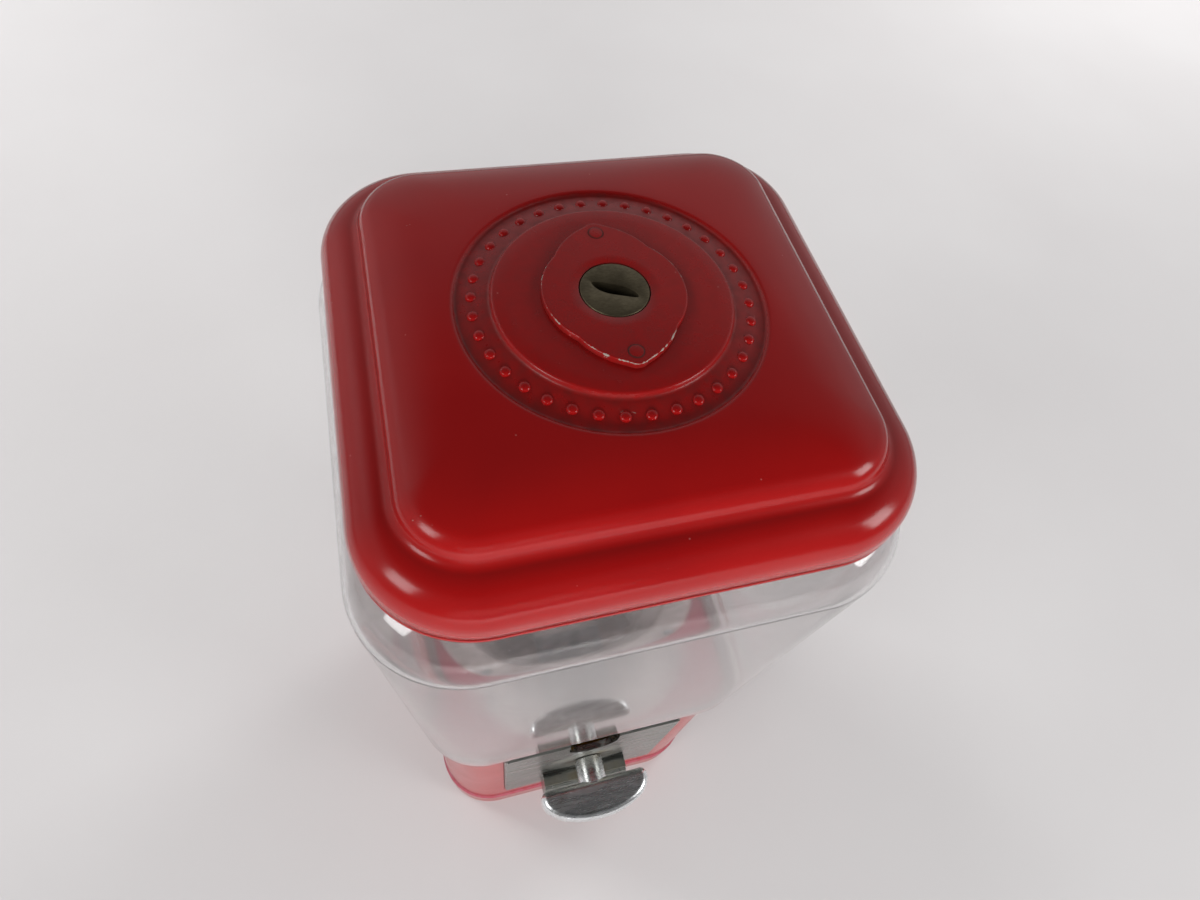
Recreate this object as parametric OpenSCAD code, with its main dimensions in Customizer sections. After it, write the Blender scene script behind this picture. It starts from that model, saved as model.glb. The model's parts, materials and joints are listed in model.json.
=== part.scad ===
// Counter-top candy vending machine: square cast base, clear globe, lockable lid,
// coin plate with a wing handle, and the geared candy wheel inside the base.
// Millimetres, +Z up, front towards -Y, origin under the middle of the base.

/* [Base] */
// Height of the base casting, table to deck
base_h = 162; // [156:1:172]
// Width of the base across its flats at the deck
base_top_w = 163; // [161:0.5:168]
// How much wider the base is at its foot than at the deck
base_flare = 6; // [4:0.5:12]
// Corner radius of the base at the deck
base_corner_r = 29.5; // [26:0.5:32]
// Thinnest wall of the base casting
base_wall = 4; // [3:0.5:5]
// Thickness of the deck on top of the base
deck_t = 5; // [4:0.5:7]
// Height of the plinth band around the foot
plinth_h = 16; // [10:1:22]
// How far the plinth band stands proud of the wall
plinth_out = 1.2; // [0.6:0.1:2]
// Thickness of the steel sheet that closes the base
bottom_t = 2.5; // [2:0.5:4]
// Spacing of the four stand bolt holes, both ways
stand_spacing = 80; // [60:1:90]
// Diameter of the stand bolt holes
stand_hole_d = 6.5; // [5:0.1:8.5]

/* [Globe] */
// How far the globe's foot stands in from the edge of the deck
globe_foot_in = 0.5; // [0:0.1:1.5]
// Rounding of the globe's lower edge, which stands out past the deck
globe_foot_r = 5; // [4.2:0.1:6]
// Width of the globe across its flats at the shoulder
globe_max_w = 182.4; // [178:0.4:190]
// Corner radius of the globe's neck
neck_corner_r = 25.5; // [24:0.5:27]
// Height of the shoulder line above the deck
shoulder_h = 182; // [165:1:200]
// Radius of the shoulder's upper rounding
shoulder_r = 20; // [17:1:24]
// Gap between the neck and the inside of the lid's skirt
neck_gap = 2.8; // [2.4:0.1:4]
// Wall of the globe
globe_wall = 3.5; // [2.5:0.5:4]
// Thickness of the two rubber gaskets
gasket_t = 1.5; // [1:0.5:3]

/* [Lid] */
// Width of the lid across its flats
lid_w = 170; // [168:0.5:176]
// Corner radius of the lid
lid_corner_r = 35; // [33:0.5:36]
// Height of the lid's lower edge above the globe's shoulder line
lid_rise = 21.5; // [20:0.5:28]
// Height of the straight lip at the lid's lower edge
lip_h = 7.2; // [6:0.2:9]
// Radius of the rounded bead around the lid
bead_r = 12.5; // [11.5:0.5:13]
// Width of the raised step on the lid
step_w = 142; // [138:0.5:143]
// Height of the lid at the edge of its step
step_h = 28; // [26.5:0.5:31]
// Height of the lid over its middle disc
lid_h = 33; // [32.5:0.5:36]
// Wall of the lid casting
lid_wall = 2.7; // [2.2:0.1:3]
// Outer radius of the ring channel on the lid
ring_out_r = 47.3; // [45:0.1:48]
// Inner radius of the ring channel on the lid
ring_in_r = 36.4; // [34:0.1:39]
// Depth of the ring channel
ring_depth = 1.2; // [0.8:0.1:1.5]

/* [Lock] */
// Length of the pointed-oval lock plate, front to back
lock_plate_l = 56; // [50:1:62]
// Width of the lock plate
lock_plate_w = 43.5; // [38:0.5:46]
// Thickness of the lock plate
lock_plate_t = 2; // [1.5:0.1:3]
// Diameter of the lock cylinder
lock_d = 21; // [18:0.1:22.2]
// Length of the key slot
key_slot_l = 14.5; // [11:0.1:15]
// Turn of the key slot, from +X towards the front
key_slot_turn = 35; // [0:1:90]

/* [Coin plate] */
// Width of the chromed plate
plate_w = 97; // [95:0.5:100]
// Height of the chromed plate
plate_h = 110; // [108:0.5:112]
// Distance from the deck down to the plate's top edge
plate_drop = 12; // [11:0.5:14]
// Thickness of the plate
plate_t = 3.5; // [3:0.1:4.5]
// Bevel around the plate's face
plate_bevel = 1.2; // [0.6:0.1:1.6]
// Width of the coin notch in the plate's top edge
coin_notch_w = 27; // [24:0.5:28]
// Depth of the coin notch
coin_notch_d = 25; // [22:0.5:27]
// Width of the candy outlet
mouth_w = 40; // [34:0.5:41]
// Height of the candy outlet
mouth_h = 21; // [18:0.5:21]

/* [Handle] */
// Height of the handle's axis above the plate's lower edge
axis_rise = 60; // [59:0.5:61]
// Width of the half-moon wing
wing_w = 62; // [56:1:66]
// Depth of the wing, back edge to front
wing_d = 20; // [18:0.5:23]
// Thickness of the wing
wing_t = 17; // [16.5:0.5:19]
// Rounding of the wing's edges
wing_edge_r = 4; // [2.5:0.5:5]
// Space between the plate and the wing, for the fingers
finger_gap = 13; // [12.5:0.5:15]
// Diameter of the handle's neck
neck_d = 16; // [15:0.5:16.5]
// Diameter of the steel shafts and of the tie rod
shaft_d = 8; // [7.6:0.1:8.2]

/* [Candy wheel] */
// Distance from the inside of the base's wall to the candy wheel's rim
wheel_inset = 17.5; // [17:0.1:18.5]
// Thickness of the candy wheel
wheel_t = 17; // [14:0.5:20]
// Diameter of a candy pocket
pocket_d = 24; // [18:0.5:24.5]

/* [Flap] */
// Width of the outlet flap
flap_w = 42; // [41.5:0.5:46]
// Thickness of the outlet flap
flap_t = 2; // [1.5:0.1:2.5]
// How far the outlet's hood stands out from the plate
hood_out = 9.5; // [8:0.5:10.5]

/* [Fits] */
// Radial clearance of turning pieces
run_fit = 0.08; // [0.04:0.01:0.1]
// Radial clearance of fixed round pieces
seat_fit = 0.05; // [0.02:0.01:0.1]

/* [Hidden] */
$fn = 64;
eps = 0.01;
far = 400;

// Base
base_foot_w = base_top_w + base_flare;
base_c = base_top_w / 2 - base_corner_r;
base_in = base_top_w / 2 - base_wall;
deck_lo = base_h - deck_t;
deck_edge = 1.5;
boss_r = 6.5;
boss_h = 20;
boss_at = base_c + (base_in - base_c - boss_r + 0.9) * sqrt(0.5);
bottom_gap = 0.4;
bottom_screw_r = 2;
bottom_head_r = 4;
bottom_screw_l = 16;
bottom_sink = 2;

// Gear pair: one turn of the handle moves the wheel on by one pocket
pockets = 6;
pinion_teeth = 10;
crown_teeth = pinion_teeth * pockets;
wheel_r = base_in - wheel_inset;
crown_rim = 6;
crown_r = wheel_r - crown_rim;
gear_module = 2 * crown_r / crown_teeth;
gear_slope = tan(22);
tooth_top = 0.8 * gear_module;
tooth_foot = 19 / 18 * gear_module;
tooth_half = 17 / 36 * gear_module;
tooth_root = 4 / 3 * gear_module;
pinion_face = 7;
pinion_r = gear_module * pinion_teeth / 2;
crown_in = crown_r - pinion_face / 2;
crown_out = crown_r + pinion_face / 2;
pocket_in = 15.5;
pocket_ring_r = crown_in - pocket_in;

// Levels of the plate and the handle, hung from the deck
plate_top = base_h - plate_drop;
plate_z = plate_top - plate_h;
axis_z = plate_z + axis_rise;

// Levels of the wheel and its pan
pitch_z = axis_z + pinion_r;
crown_tip_z = pitch_z - tooth_top;
wheel_z = pitch_z + tooth_foot;
wheel_top = wheel_z + wheel_t;
pan_t = 2;
pan_seat_z = wheel_z - 0.3;
pan_ring_z = crown_tip_z - 1;
pan_low_z = pan_ring_z - pan_t;
pan_step_r = crown_in - 1.5;
pan_r = wheel_r + 1;
pan_flange_t = 3;
deck_hole_r = pan_r + 0.5;
flange_r = base_in - 3;
pan_boss_r = 10;
pan_boss_z = pan_low_z - 4.5;
drop_r = pocket_d / 2 + 0.5;
drop_tube_r = drop_r + 1.5;

// Hopper funnel and the screws that clamp it, the deck and the pan
funnel_t = 1.5;
funnel_low_z = wheel_top + 3.5;
funnel_low_r = pan_step_r + 2;
foot_rim = 2;
foot_rim_h = 5;
globe_foot_w = base_top_w - 2 * globe_foot_in;
funnel_flange_r = globe_foot_w / 2 - globe_wall - foot_rim - 1;
deck_screw_in = 3.3;
deck_screw_ring = funnel_flange_r - deck_screw_in;
deck_screw_r = 2;
deck_head_r = 3;
deck_head_h = 2;
deck_screw_gap = 0.2;
deck_screw_end = 3;

// Cut-off shield over the drop hole
shield_z = wheel_top + 1;
shield_t = 1.5;
shield_half_w = 19;
shield_tab_half_w = 14;
shield_tab_h = 12;
shield_rivet_r = 1.5;
shield_rivet_x = 9;
shield_rivet_z = shield_z + 8;

// Tie rod
rod_r = shaft_d / 2;
washer_t = 1.5;
nut_h = 6.5;
nut_r = 7.5;
rod_low_z = pan_boss_z - washer_t - nut_h - 2;
bush_r = 7;
bush_top = wheel_top + 6;
collar_r = 8;
collar_h = 7;

// Globe, drawn about corner centres
neck_w = lid_w - 2 * (lid_wall + neck_gap);
globe_c = neck_w / 2 - neck_corner_r;
globe_z = base_h + gasket_t;
shoulder_z = base_h + shoulder_h;
foot_x = globe_foot_w / 2 - globe_c;
foot_wall_x = foot_x + globe_foot_r;
foot_wall_z = globe_z + globe_foot_r;
shoulder_x = globe_max_w / 2 - globe_c;
neck_x = neck_w / 2 - globe_c;

// Lid, drawn about corner centres
lid_c = lid_w / 2 - lid_corner_r;
lid_z = shoulder_z + lid_rise;
lip_x = lid_w / 2 - lid_c;
step_x = step_w / 2 - lid_c;
bead_x = lip_x - bead_r;
ledge_h = 11;
skirt_taper = 0.8;
valley_r = 3;
valley_dx = step_x + valley_r - bead_x;
valley_dz = sqrt(pow(bead_r + valley_r, 2) - pow(valley_dx, 2));
edge_r = 5;
crown_rise = 1.5;
crown_arc_x = step_x - edge_r;
crown_arc_r = (pow(crown_arc_x, 2) + pow(crown_rise, 2)) / (2 * crown_rise);
flat_h = step_h + crown_rise;
ceiling_h = flat_h - 2.5;
cap_rise = lid_h - flat_h + 1;
cap_r = (pow(lid_c, 2) + pow(cap_rise, 2)) / (2 * cap_rise);
cap_z = flat_h + cap_rise - cap_r;
neck_top = lid_z + ledge_h - gasket_t;
seam_h = 2;
seam_w = 0.8;
pip_count = 36;
pip_r = 1.5;
pip_h = 0.8;

// Lock
lock_r = lock_d / 2;
lock_boss_r = lock_r + 5;
lock_low = lid_z + 18.5;
lock_plate_z = lid_z + lid_h;
lock_face = lock_plate_z + lock_plate_t;
lock_ear_r = 4.5;
lock_steps = 14;
rivet_at = lock_plate_l / 2 - lock_ear_r;
rivet_r = 2.5;
rivet_shank_r = 1.4;
rivet_dome_r = 4;
rivet_h = 0.9;
key_slot_w = 2.6;
key_slot_deep = 8;
lock_nut_r = 8.5;
lock_nut_z = lid_z + 0.5;
rod_top = lid_z + 13.5;
retainer_r = lock_r + 2;
retainer_t = 1.5;

// Coin plate and the window behind it
plate_back = -(base_top_w / 2 - 0.5);
plate_face = plate_back - plate_t;
plate_gap = 0.3;
plate_corner_r = 4;
window_half_w = 36;
window_up = 4;
window_z = plate_z + window_up;
carrier_r = 28;
carrier_gap = 4;
window_top = axis_z + carrier_r + carrier_gap;
notch_r = coin_notch_w / 2;
notch_z = plate_top - coin_notch_d + notch_r;
notch_gap = 1;
mouth_z = window_z;
mouth_top = mouth_z + mouth_h;
stud_r = 2;
stud_side = 6;
stud_x = window_half_w + stud_side;
stud_l = 9.5;
stud_end = plate_back + stud_l;
stud_in = 7;
stud_zs = [plate_z + stud_in, plate_top - stud_in];
wall_in_y = -base_in;
small_nut_r = 4;
small_nut_h = 3;

// Coin mechanism, front to back along the shaft
carrier_y = plate_back + 0.6;
carrier_t = 4.8;
coin_r = 11.3;
coin_t = 2.2;
ratchet_r = 20;
ratchet_teeth = 12;
ratchet_depth = 3;
ratchet_t = 3;
ratchet_ramp = 0.96;
ratchet_y = carrier_y + carrier_t + 0.1;
bearing_r = 8;
bearing_y = ratchet_y + ratchet_t + 0.3;
housing_t = 4;
housing_y = bearing_y + 2.2;
bearing_end = housing_y + housing_t + 1.8;
housing_side = 11;
housing_half_w = window_half_w + housing_side;
housing_down = 18;
housing_up = 26;
housing_low = axis_z - housing_down;
housing_high = axis_z + housing_up;
leg_r = 5;
leg_x = stud_x;
leg_down = 10;
leg_up = 18;
leg_zs = [axis_z - leg_down, axis_z + leg_up];
mech_screw_r = 2;
mech_head_r = 3.5;
mech_head_h = 2.5;
pinion_end = -crown_in;
pinion_start = -crown_out;
shaft_end = pinion_end + 0.5;

// Ratchet pawl, placed from the shaft's axis
pawl_x = -26;
pawl_dz = 19.5;
pawl_hub_r = 4;
pawl_pin_r = 2;
pawl_tip_x = -3;
pawl_tip_r = ratchet_r + 0.5;
pawl_t = 2.4;

// Handle
wing_back = plate_face - finger_gap;
wing_front = wing_back - wing_d;
wing_half = wing_w / 2 - wing_edge_r;
wing_bow = wing_d - 2 * wing_edge_r;
wing_core_y = wing_back - wing_edge_r;
wing_steps = 16;
wing_end_steps = 4;
wing_round_steps = 4;
neck_r = neck_d / 2;
neck_back = plate_face - 0.3;
neck_front = wing_back - wing_d * 0.4;
neck_bore_end = neck_front + 3;

// Chute from the drop hole to the outlet
chute_t = 1.5;
chute_half_w = mouth_w / 2;
chute_back_y = -(pocket_ring_r - drop_r - 1.5);
chute_front_y = -(crown_in - 3);
chute_top_z = pan_low_z - 0.2;
chute_bend_h = 9;
chute_roof_h = 20.5;
chute_bend_z = chute_top_z - chute_bend_h;
chute_roof_z = chute_top_z - chute_roof_h;
chute_end_y = wall_in_y + 0.1;
ear_side = 4;
ear_h = 9;
ear_x = stud_x + ear_side;
ear_low = window_z - 0.5;
ear_high = window_z + ear_h;

// Flap, its hinge and the hood around them
hinge_r = 2.4;
hinge_pin_r = 1.2;
hinge_z = mouth_top + 4.5;
hinge_y = plate_face - hood_out + hinge_r;
flap_low = mouth_z - 1;
flap_back = hinge_y + flap_t / 2;
cheek_t = 4;
cheek_gap = 0.4;
cheek_x = flap_w / 2 + cheek_gap + cheek_t;
roof_t = 2;
roof_z = hinge_z + hinge_r + cheek_gap;

paint_red = [0.70, 0.08, 0.06];
chrome_grey = [0.74, 0.76, 0.76];
steel_grey = [0.58, 0.60, 0.62];
alu_grey = [0.70, 0.71, 0.72];
brass_olive = [0.43, 0.40, 0.32];
brass_yellow = [0.68, 0.56, 0.28];
rubber_black = [0.08, 0.08, 0.08];
clear_tint = [0.85, 0.90, 0.92, 0.35];

// Carries a profile around a rounded square whose corner centres lie at +-c.
// The profile's x runs outwards from the corner centres and its y is height.
module swept(c) {
    for (k = [0:3]) {
        rotate([0, 0, 90 * k]) {
            translate([c, c, 0]) rotate_extrude(angle = 90) children();
            translate([c, c, 0]) rotate([90, 0, 0]) linear_extrude(2 * c) children();
        }
    }
}

// Flat rounded square with corner centres at +-c
module rounded_square(c, r) {
    square([2 * (c + r), 2 * c], center = true);
    square([2 * c, 2 * (c + r)], center = true);
    for (x = [-c, c], y = [-c, c]) translate([x, y]) circle(r);
}

// Rod or bore along Y, from y0 back to y1
module y_rod(r, y0, y1) {
    translate([0, y1, 0]) rotate([90, 0, 0]) cylinder(r = r, h = y1 - y0);
}

// Outline in X and Z, given thickness from y0 back to y1
module y_slab(y0, y1) {
    translate([0, y1, 0]) rotate([90, 0, 0]) linear_extrude(y1 - y0) children();
}

module four_corners(d) {
    for (x = [-d, d], y = [-d, d]) translate([x, y, 0]) children();
}

module deck_screw_places() {
    for (k = [0:3]) rotate([0, 0, 45 + 90 * k]) translate([deck_screw_ring, 0, 0]) children();
}

module stud_places() {
    for (x = [-stud_x, stud_x], z = stud_zs) translate([x, 0, z]) children();
}

module leg_places() {
    for (x = [-leg_x, leg_x], z = leg_zs) translate([x, 0, z]) children();
}

// Wall and deck of the base in section
module base_section() {
    foot_x = base_foot_w / 2 - base_c;
    top_x = base_corner_r;
    wall_x = foot_x - plinth_out;
    in_x = base_in - base_c;
    polygon([[in_x, 0], [foot_x, 0], [foot_x, plinth_h], [wall_x, plinth_h + plinth_out],
             [top_x, base_h - deck_edge], [top_x - deck_edge, base_h],
             [0, base_h], [0, deck_lo], [in_x, deck_lo]]);
}

// Opening through the front wall for the mechanism and for a coin
module front_window() {
    translate([-window_half_w, -far / 2, window_z])
        cube([2 * window_half_w, far / 2 + wall_in_y + 1, window_top - window_z]);
    coin_way(notch_r + notch_gap, notch_z, plate_top + notch_gap, plate_face, wall_in_y + 1);
}

// Slot with a round lower end, open upwards
module coin_way(r, z, top, y0, y1) {
    translate([0, 0, z]) y_rod(r, y0, y1);
    translate([-r, y0, z]) cube([2 * r, y1 - y0, top - z]);
}

module base_shell() {
    color(paint_red) difference() {
        union() {
            swept(base_c) base_section();
            translate([-base_c, -base_c, deck_lo]) cube([2 * base_c, 2 * base_c, deck_t]);
            four_corners(boss_at) translate([0, 0, bottom_t]) cylinder(r = boss_r, h = boss_h);
        }
        translate([0, 0, deck_lo - 1]) cylinder(r = deck_hole_r, h = deck_t + 2);
        translate([0, 0, deck_lo - 1]) deck_screw_places()
            cylinder(r = deck_screw_r + deck_screw_gap, h = deck_t + 2);
        translate([-plate_w / 2 - plate_gap, plate_back - far / 2, plate_z - plate_gap])
            cube([plate_w + 2 * plate_gap, far / 2, plate_h + 2 * plate_gap]);
        front_window();
        stud_places() y_rod(stud_r + 0.3, plate_back - 1, wall_in_y + 1);
        leg_places() y_rod(mech_screw_r + seat_fit, plate_back - 1, wall_in_y + 1);
        four_corners(boss_at) cylinder(r = bottom_screw_r + seat_fit, h = bottom_screw_l + 1);
    }
}

module bottom_plate() {
    color(steel_grey) difference() {
        linear_extrude(bottom_t) rounded_square(base_c, base_in - base_c - bottom_gap);
        four_corners(stand_spacing / 2) translate([0, 0, -1]) cylinder(d = stand_hole_d, h = bottom_t + 2);
        four_corners(boss_at) bottom_screw(0.1);
    }
}

// Countersunk screw, point upwards, grown all round by g
module bottom_screw(g) {
    translate([0, 0, -g]) cylinder(r1 = bottom_head_r + g, r2 = bottom_screw_r + g, h = bottom_sink);
    translate([0, 0, -g]) cylinder(r = bottom_screw_r + g, h = bottom_screw_l + 2 * g);
}

module bottom_screws() {
    color(steel_grey) four_corners(boss_at) bottom_screw(0);
}

// Plate blank: upright slab with its four front edges bevelled
module plate_blank() {
    hw = plate_w / 2;
    zm = plate_z + plate_h / 2;
    intersection() {
        y_slab(plate_face, plate_back) translate([0, zm]) plate_outline();
        translate([-hw - 1, 0, 0]) rotate([90, 0, 90]) linear_extrude(plate_w + 2)
            bevelled_edge(plate_z, plate_top);
        translate([0, 0, plate_z - 1]) linear_extrude(plate_h + 2)
            mirror([1, -1]) bevelled_edge(-hw, hw);
    }
}

module plate_outline() {
    r = plate_corner_r;
    square([plate_w, plate_h - 2 * r], center = true);
    square([plate_w - 2 * r, plate_h], center = true);
    for (x = [r - plate_w / 2, plate_w / 2 - r], z = [r - plate_h / 2, plate_h / 2 - r])
        translate([x, z]) circle(r);
}

// Section of the plate with both ends bevelled on the front
module bevelled_edge(lo, hi) {
    b = plate_bevel;
    polygon([[plate_back, lo], [plate_back, hi], [plate_face + b, hi], [plate_face, hi - b],
             [plate_face, lo + b], [plate_face + b, lo]]);
}

// Hood around the outlet: two cheeks that hold the flap's hinge pin, and a roof across them
module outlet_hood() {
    depth = plate_face - hinge_y + 1;
    for (x = [-cheek_x, cheek_x - cheek_t]) {
        translate([x, hinge_y, hinge_z]) rotate([0, 90, 0]) cylinder(r = hinge_r, h = cheek_t);
        translate([x, hinge_y, flap_low]) cube([cheek_t, depth, roof_z + roof_t - flap_low]);
    }
    translate([-cheek_x, hinge_y, roof_z]) cube([2 * cheek_x, depth, roof_t]);
}

module front_plate() {
    color(chrome_grey) difference() {
        union() {
            plate_blank();
            outlet_hood();
            stud_places() y_rod(stud_r, plate_back - 1, stud_end);
        }
        coin_way(notch_r, notch_z, plate_top + plate_t, plate_face - 1, plate_back + 1);
        translate([-mouth_w / 2, plate_face - 1, mouth_z]) cube([mouth_w, plate_t + 2, mouth_h]);
        translate([0, 0, axis_z]) y_rod(rod_r + run_fit, plate_face - 1, plate_back + 1);
        translate([-flap_w, hinge_y, hinge_z]) rotate([0, 90, 0])
            cylinder(r = hinge_pin_r + seat_fit, h = 2 * flap_w);
    }
}

module hex_nut(r, bore, h) {
    difference() {
        cylinder(r = r, h = h, $fn = 6);
        translate([0, 0, -1]) cylinder(r = bore, h = h + 2);
    }
}

module plate_nuts() {
    color(steel_grey) for (x = [-stud_x, stud_x]) {
        plate_nut(x, stud_zs[0], chute_end_y + chute_t + 0.1);
        plate_nut(x, stud_zs[1], wall_in_y + 0.1);
    }
}

module plate_nut(x, z, y) {
    translate([x, y + small_nut_h, z]) rotate([90, 0, 0])
        hex_nut(small_nut_r, stud_r + seat_fit, small_nut_h);
}

// Bracket behind the plate that carries the shaft's rear bearing
module mech_housing() {
    color(alu_grey) difference() {
        union() {
            y_slab(housing_y, housing_y + housing_t) translate([-housing_half_w, housing_low])
                square([2 * housing_half_w, housing_high - housing_low]);
            translate([0, 0, axis_z]) y_rod(bearing_r, bearing_y, bearing_end);
            leg_places() y_rod(leg_r, wall_in_y + 0.1, housing_y + 1);
        }
        translate([0, 0, axis_z]) y_rod(rod_r + run_fit, bearing_y - 1, bearing_end + 1);
        leg_places() y_rod(mech_screw_r + seat_fit, wall_in_y - 1, housing_y + housing_t + 1);
        translate([pawl_x, 0, axis_z + pawl_dz])
            y_rod(pawl_pin_r + seat_fit, housing_y - 1, housing_y + housing_t + 1);
    }
}

module mech_screws() {
    head_y = housing_y + housing_t + 0.1;
    color(steel_grey) leg_places() {
        y_rod(mech_screw_r, plate_back + 0.5, head_y + 0.5);
        y_rod(mech_head_r, head_y, head_y + mech_head_h);
    }
}

// Pot under the deck: the wheel turns on its raised floor
module wheel_pan() {
    color(alu_grey) difference() {
        union() {
            rotate_extrude() polygon([
                [0, pan_seat_z - pan_t], [pan_step_r - pan_t, pan_seat_z - pan_t],
                [pan_step_r - pan_t, pan_low_z], [pan_r + pan_t, pan_low_z],
                [pan_r + pan_t, deck_lo - pan_flange_t], [flange_r, deck_lo - pan_flange_t],
                [flange_r, deck_lo], [pan_r, deck_lo], [pan_r, pan_ring_z],
                [pan_step_r, pan_ring_z], [pan_step_r, pan_seat_z], [0, pan_seat_z]]);
            translate([0, 0, pan_boss_z]) cylinder(r = pan_boss_r, h = pan_seat_z - pan_boss_z - 0.5);
            translate([0, -pocket_ring_r, pan_low_z])
                cylinder(r = drop_tube_r, h = pan_seat_z - pan_low_z - 0.5);
        }
        translate([0, 0, pan_boss_z - 1]) cylinder(r = rod_r + seat_fit, h = far);
        translate([0, -pocket_ring_r, pan_low_z - 1]) cylinder(r = drop_r, h = far);
        pinion_window();
        translate([0, 0, deck_lo - pan_flange_t - 1]) deck_screw_places()
            cylinder(r = deck_screw_r + seat_fit, h = pan_flange_t + 2);
        shield_rivet_places() y_rod(shield_rivet_r + seat_fit, -far / 2, -pan_step_r);
    }
}

// Notch in the pot's front through which the pinion reaches the wheel
module pinion_window() {
    half = pinion_r + tooth_top + 2;
    translate([-half, -pan_r - pan_t - 3, pan_low_z - 5])
        cube([2 * half, pan_r + pan_t + 3 - pan_step_r - 0.2, pan_ring_z - pan_low_z + 6.5]);
}

module hopper_funnel() {
    top_r = deck_hole_r - funnel_t - 0.4;
    color(alu_grey) difference() {
        rotate_extrude() polygon([
            [funnel_low_r, funnel_low_z], [funnel_low_r + funnel_t, funnel_low_z],
            [top_r + funnel_t, base_h - 2], [top_r + funnel_t, base_h + 0.05],
            [funnel_flange_r, base_h + 0.05], [funnel_flange_r, base_h + funnel_t],
            [top_r, base_h + funnel_t]]);
        translate([0, 0, base_h - 1]) deck_screw_places() cylinder(r = deck_screw_r + seat_fit, h = 5);
    }
}

module deck_screws() {
    head_z = base_h + funnel_t + 0.05;
    end_z = deck_lo - pan_flange_t - deck_screw_end;
    color(steel_grey) deck_screw_places() {
        translate([0, 0, end_z]) cylinder(r = deck_screw_r, h = head_z + 1 - end_z);
        translate([0, 0, head_z]) cylinder(r = deck_head_r, h = deck_head_h);
    }
}

// Sheet over the drop hole, so candy leaves only from a pocket
module cutoff_shield() {
    out_r = pan_r - 0.05;
    back_y = -(pocket_ring_r - pocket_d / 2 - 2);
    color(steel_grey) difference() {
        union() {
            intersection() {
                translate([-shield_half_w, -far / 2, shield_z])
                    cube([2 * shield_half_w, far / 2 + back_y, shield_t]);
                cylinder(r = out_r, h = far);
            }
            difference() {
                intersection() {
                    translate([-shield_tab_half_w, -far / 2, shield_z])
                        cube([2 * shield_tab_half_w, far / 2 + back_y, shield_tab_h]);
                    cylinder(r = out_r, h = far);
                }
                translate([0, 0, shield_z - 1]) cylinder(r = out_r - shield_t, h = far);
            }
        }
        shield_rivet_places() y_rod(shield_rivet_r + seat_fit, -far / 2, -pan_step_r);
    }
}

module shield_rivet_places() {
    for (x = [-shield_rivet_x, shield_rivet_x]) translate([x, 0, shield_rivet_z]) children();
}

module shield_rivets() {
    head_r = shield_rivet_r + 1;
    in_y = 0.1 - sqrt(pow(pan_r - shield_t, 2) - pow(shield_rivet_x + head_r, 2));
    out_y = -pan_r - pan_t - 0.2;
    color(steel_grey) shield_rivet_places() {
        y_rod(shield_rivet_r, out_y - 0.5, in_y + 0.5);
        y_rod(head_r, in_y, in_y + 1);
        y_rod(head_r, out_y - 1, out_y);
    }
}

module centre_rod() {
    color(steel_grey) translate([0, 0, rod_low_z]) cylinder(r = rod_r, h = rod_top - rod_low_z);
}

module rod_washer() {
    color(steel_grey) translate([0, 0, pan_boss_z - washer_t - 0.05]) difference() {
        cylinder(r = pan_boss_r, h = washer_t);
        translate([0, 0, -1]) cylinder(r = rod_r + seat_fit, h = washer_t + 2);
    }
}

module rod_nut() {
    color(steel_grey) translate([0, 0, pan_boss_z - washer_t - nut_h - 0.1])
        hex_nut(nut_r, rod_r + seat_fit, nut_h);
}

// Collar on the rod that keeps the wheel down
module wheel_collar() {
    color(steel_grey) translate([0, 0, bush_top + 0.3]) difference() {
        cylinder(r = collar_r, h = collar_h);
        translate([0, 0, -1]) cylinder(r = rod_r + seat_fit, h = collar_h + 2);
    }
}

// Side view of the chute: the way inside grown by g, as points in Y and Z
function chute_side(g) = [
    [chute_back_y + g, chute_top_z + 1 - g], [chute_front_y - g, chute_top_z + 1 - g],
    [chute_front_y - g, chute_roof_z + g], [chute_end_y, mouth_top + g * 1.2],
    [chute_end_y, mouth_z - g * 1.2], [chute_back_y + g, chute_bend_z - g * 0.6]];

module drop_chute() {
    w = chute_half_w + chute_t;
    color(steel_grey) difference() {
        union() {
            translate([-w, 0, 0]) rotate([90, 0, 90]) linear_extrude(2 * w) polygon(chute_side(chute_t));
            translate([-ear_x, chute_end_y, ear_low]) cube([2 * ear_x, chute_t, ear_high - ear_low]);
        }
        translate([-chute_half_w, 0, 0]) rotate([90, 0, 90])
            linear_extrude(2 * chute_half_w) polygon(chute_side(0));
        translate([-chute_half_w, chute_end_y - 1, mouth_z]) cube([2 * chute_half_w, chute_t + 1, mouth_h]);
        translate([-far / 2, -far / 2, chute_top_z]) cube([far, far, 10]);
        for (x = [-stud_x, stud_x]) translate([x, 0, stud_zs[0]])
            y_rod(stud_r + 0.2, chute_end_y - 1, chute_end_y + chute_t + 1);
    }
}

module chute_flap() {
    color(chrome_grey) difference() {
        union() {
            translate([-flap_w / 2, hinge_y, hinge_z]) rotate([0, 90, 0]) cylinder(r = hinge_r, h = flap_w);
            translate([-flap_w / 2, flap_back - flap_t, flap_low])
                cube([flap_w, flap_t, hinge_z - flap_low - 1]);
        }
        translate([-flap_w, hinge_y, hinge_z]) rotate([0, 90, 0])
            cylinder(r = hinge_pin_r + run_fit, h = 2 * flap_w);
    }
}

module flap_pin() {
    color(steel_grey) translate([-cheek_x, hinge_y, hinge_z]) rotate([0, 90, 0])
        cylinder(r = hinge_pin_r, h = 2 * cheek_x);
}

// One level of the wing's outline: its half-ellipse core grown by g, at height z above the axis
function wing_ring(g, z) = [
    for (k = [0:wing_steps]) wing_front_point(180 * k / wing_steps - 90, g, z),
    for (k = [1:wing_end_steps]) wing_end_point(90 + 90 * k / wing_end_steps, 1, g, z),
    for (k = [wing_end_steps:-1:1]) wing_end_point(90 + 90 * k / wing_end_steps, -1, g, z)];

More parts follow.
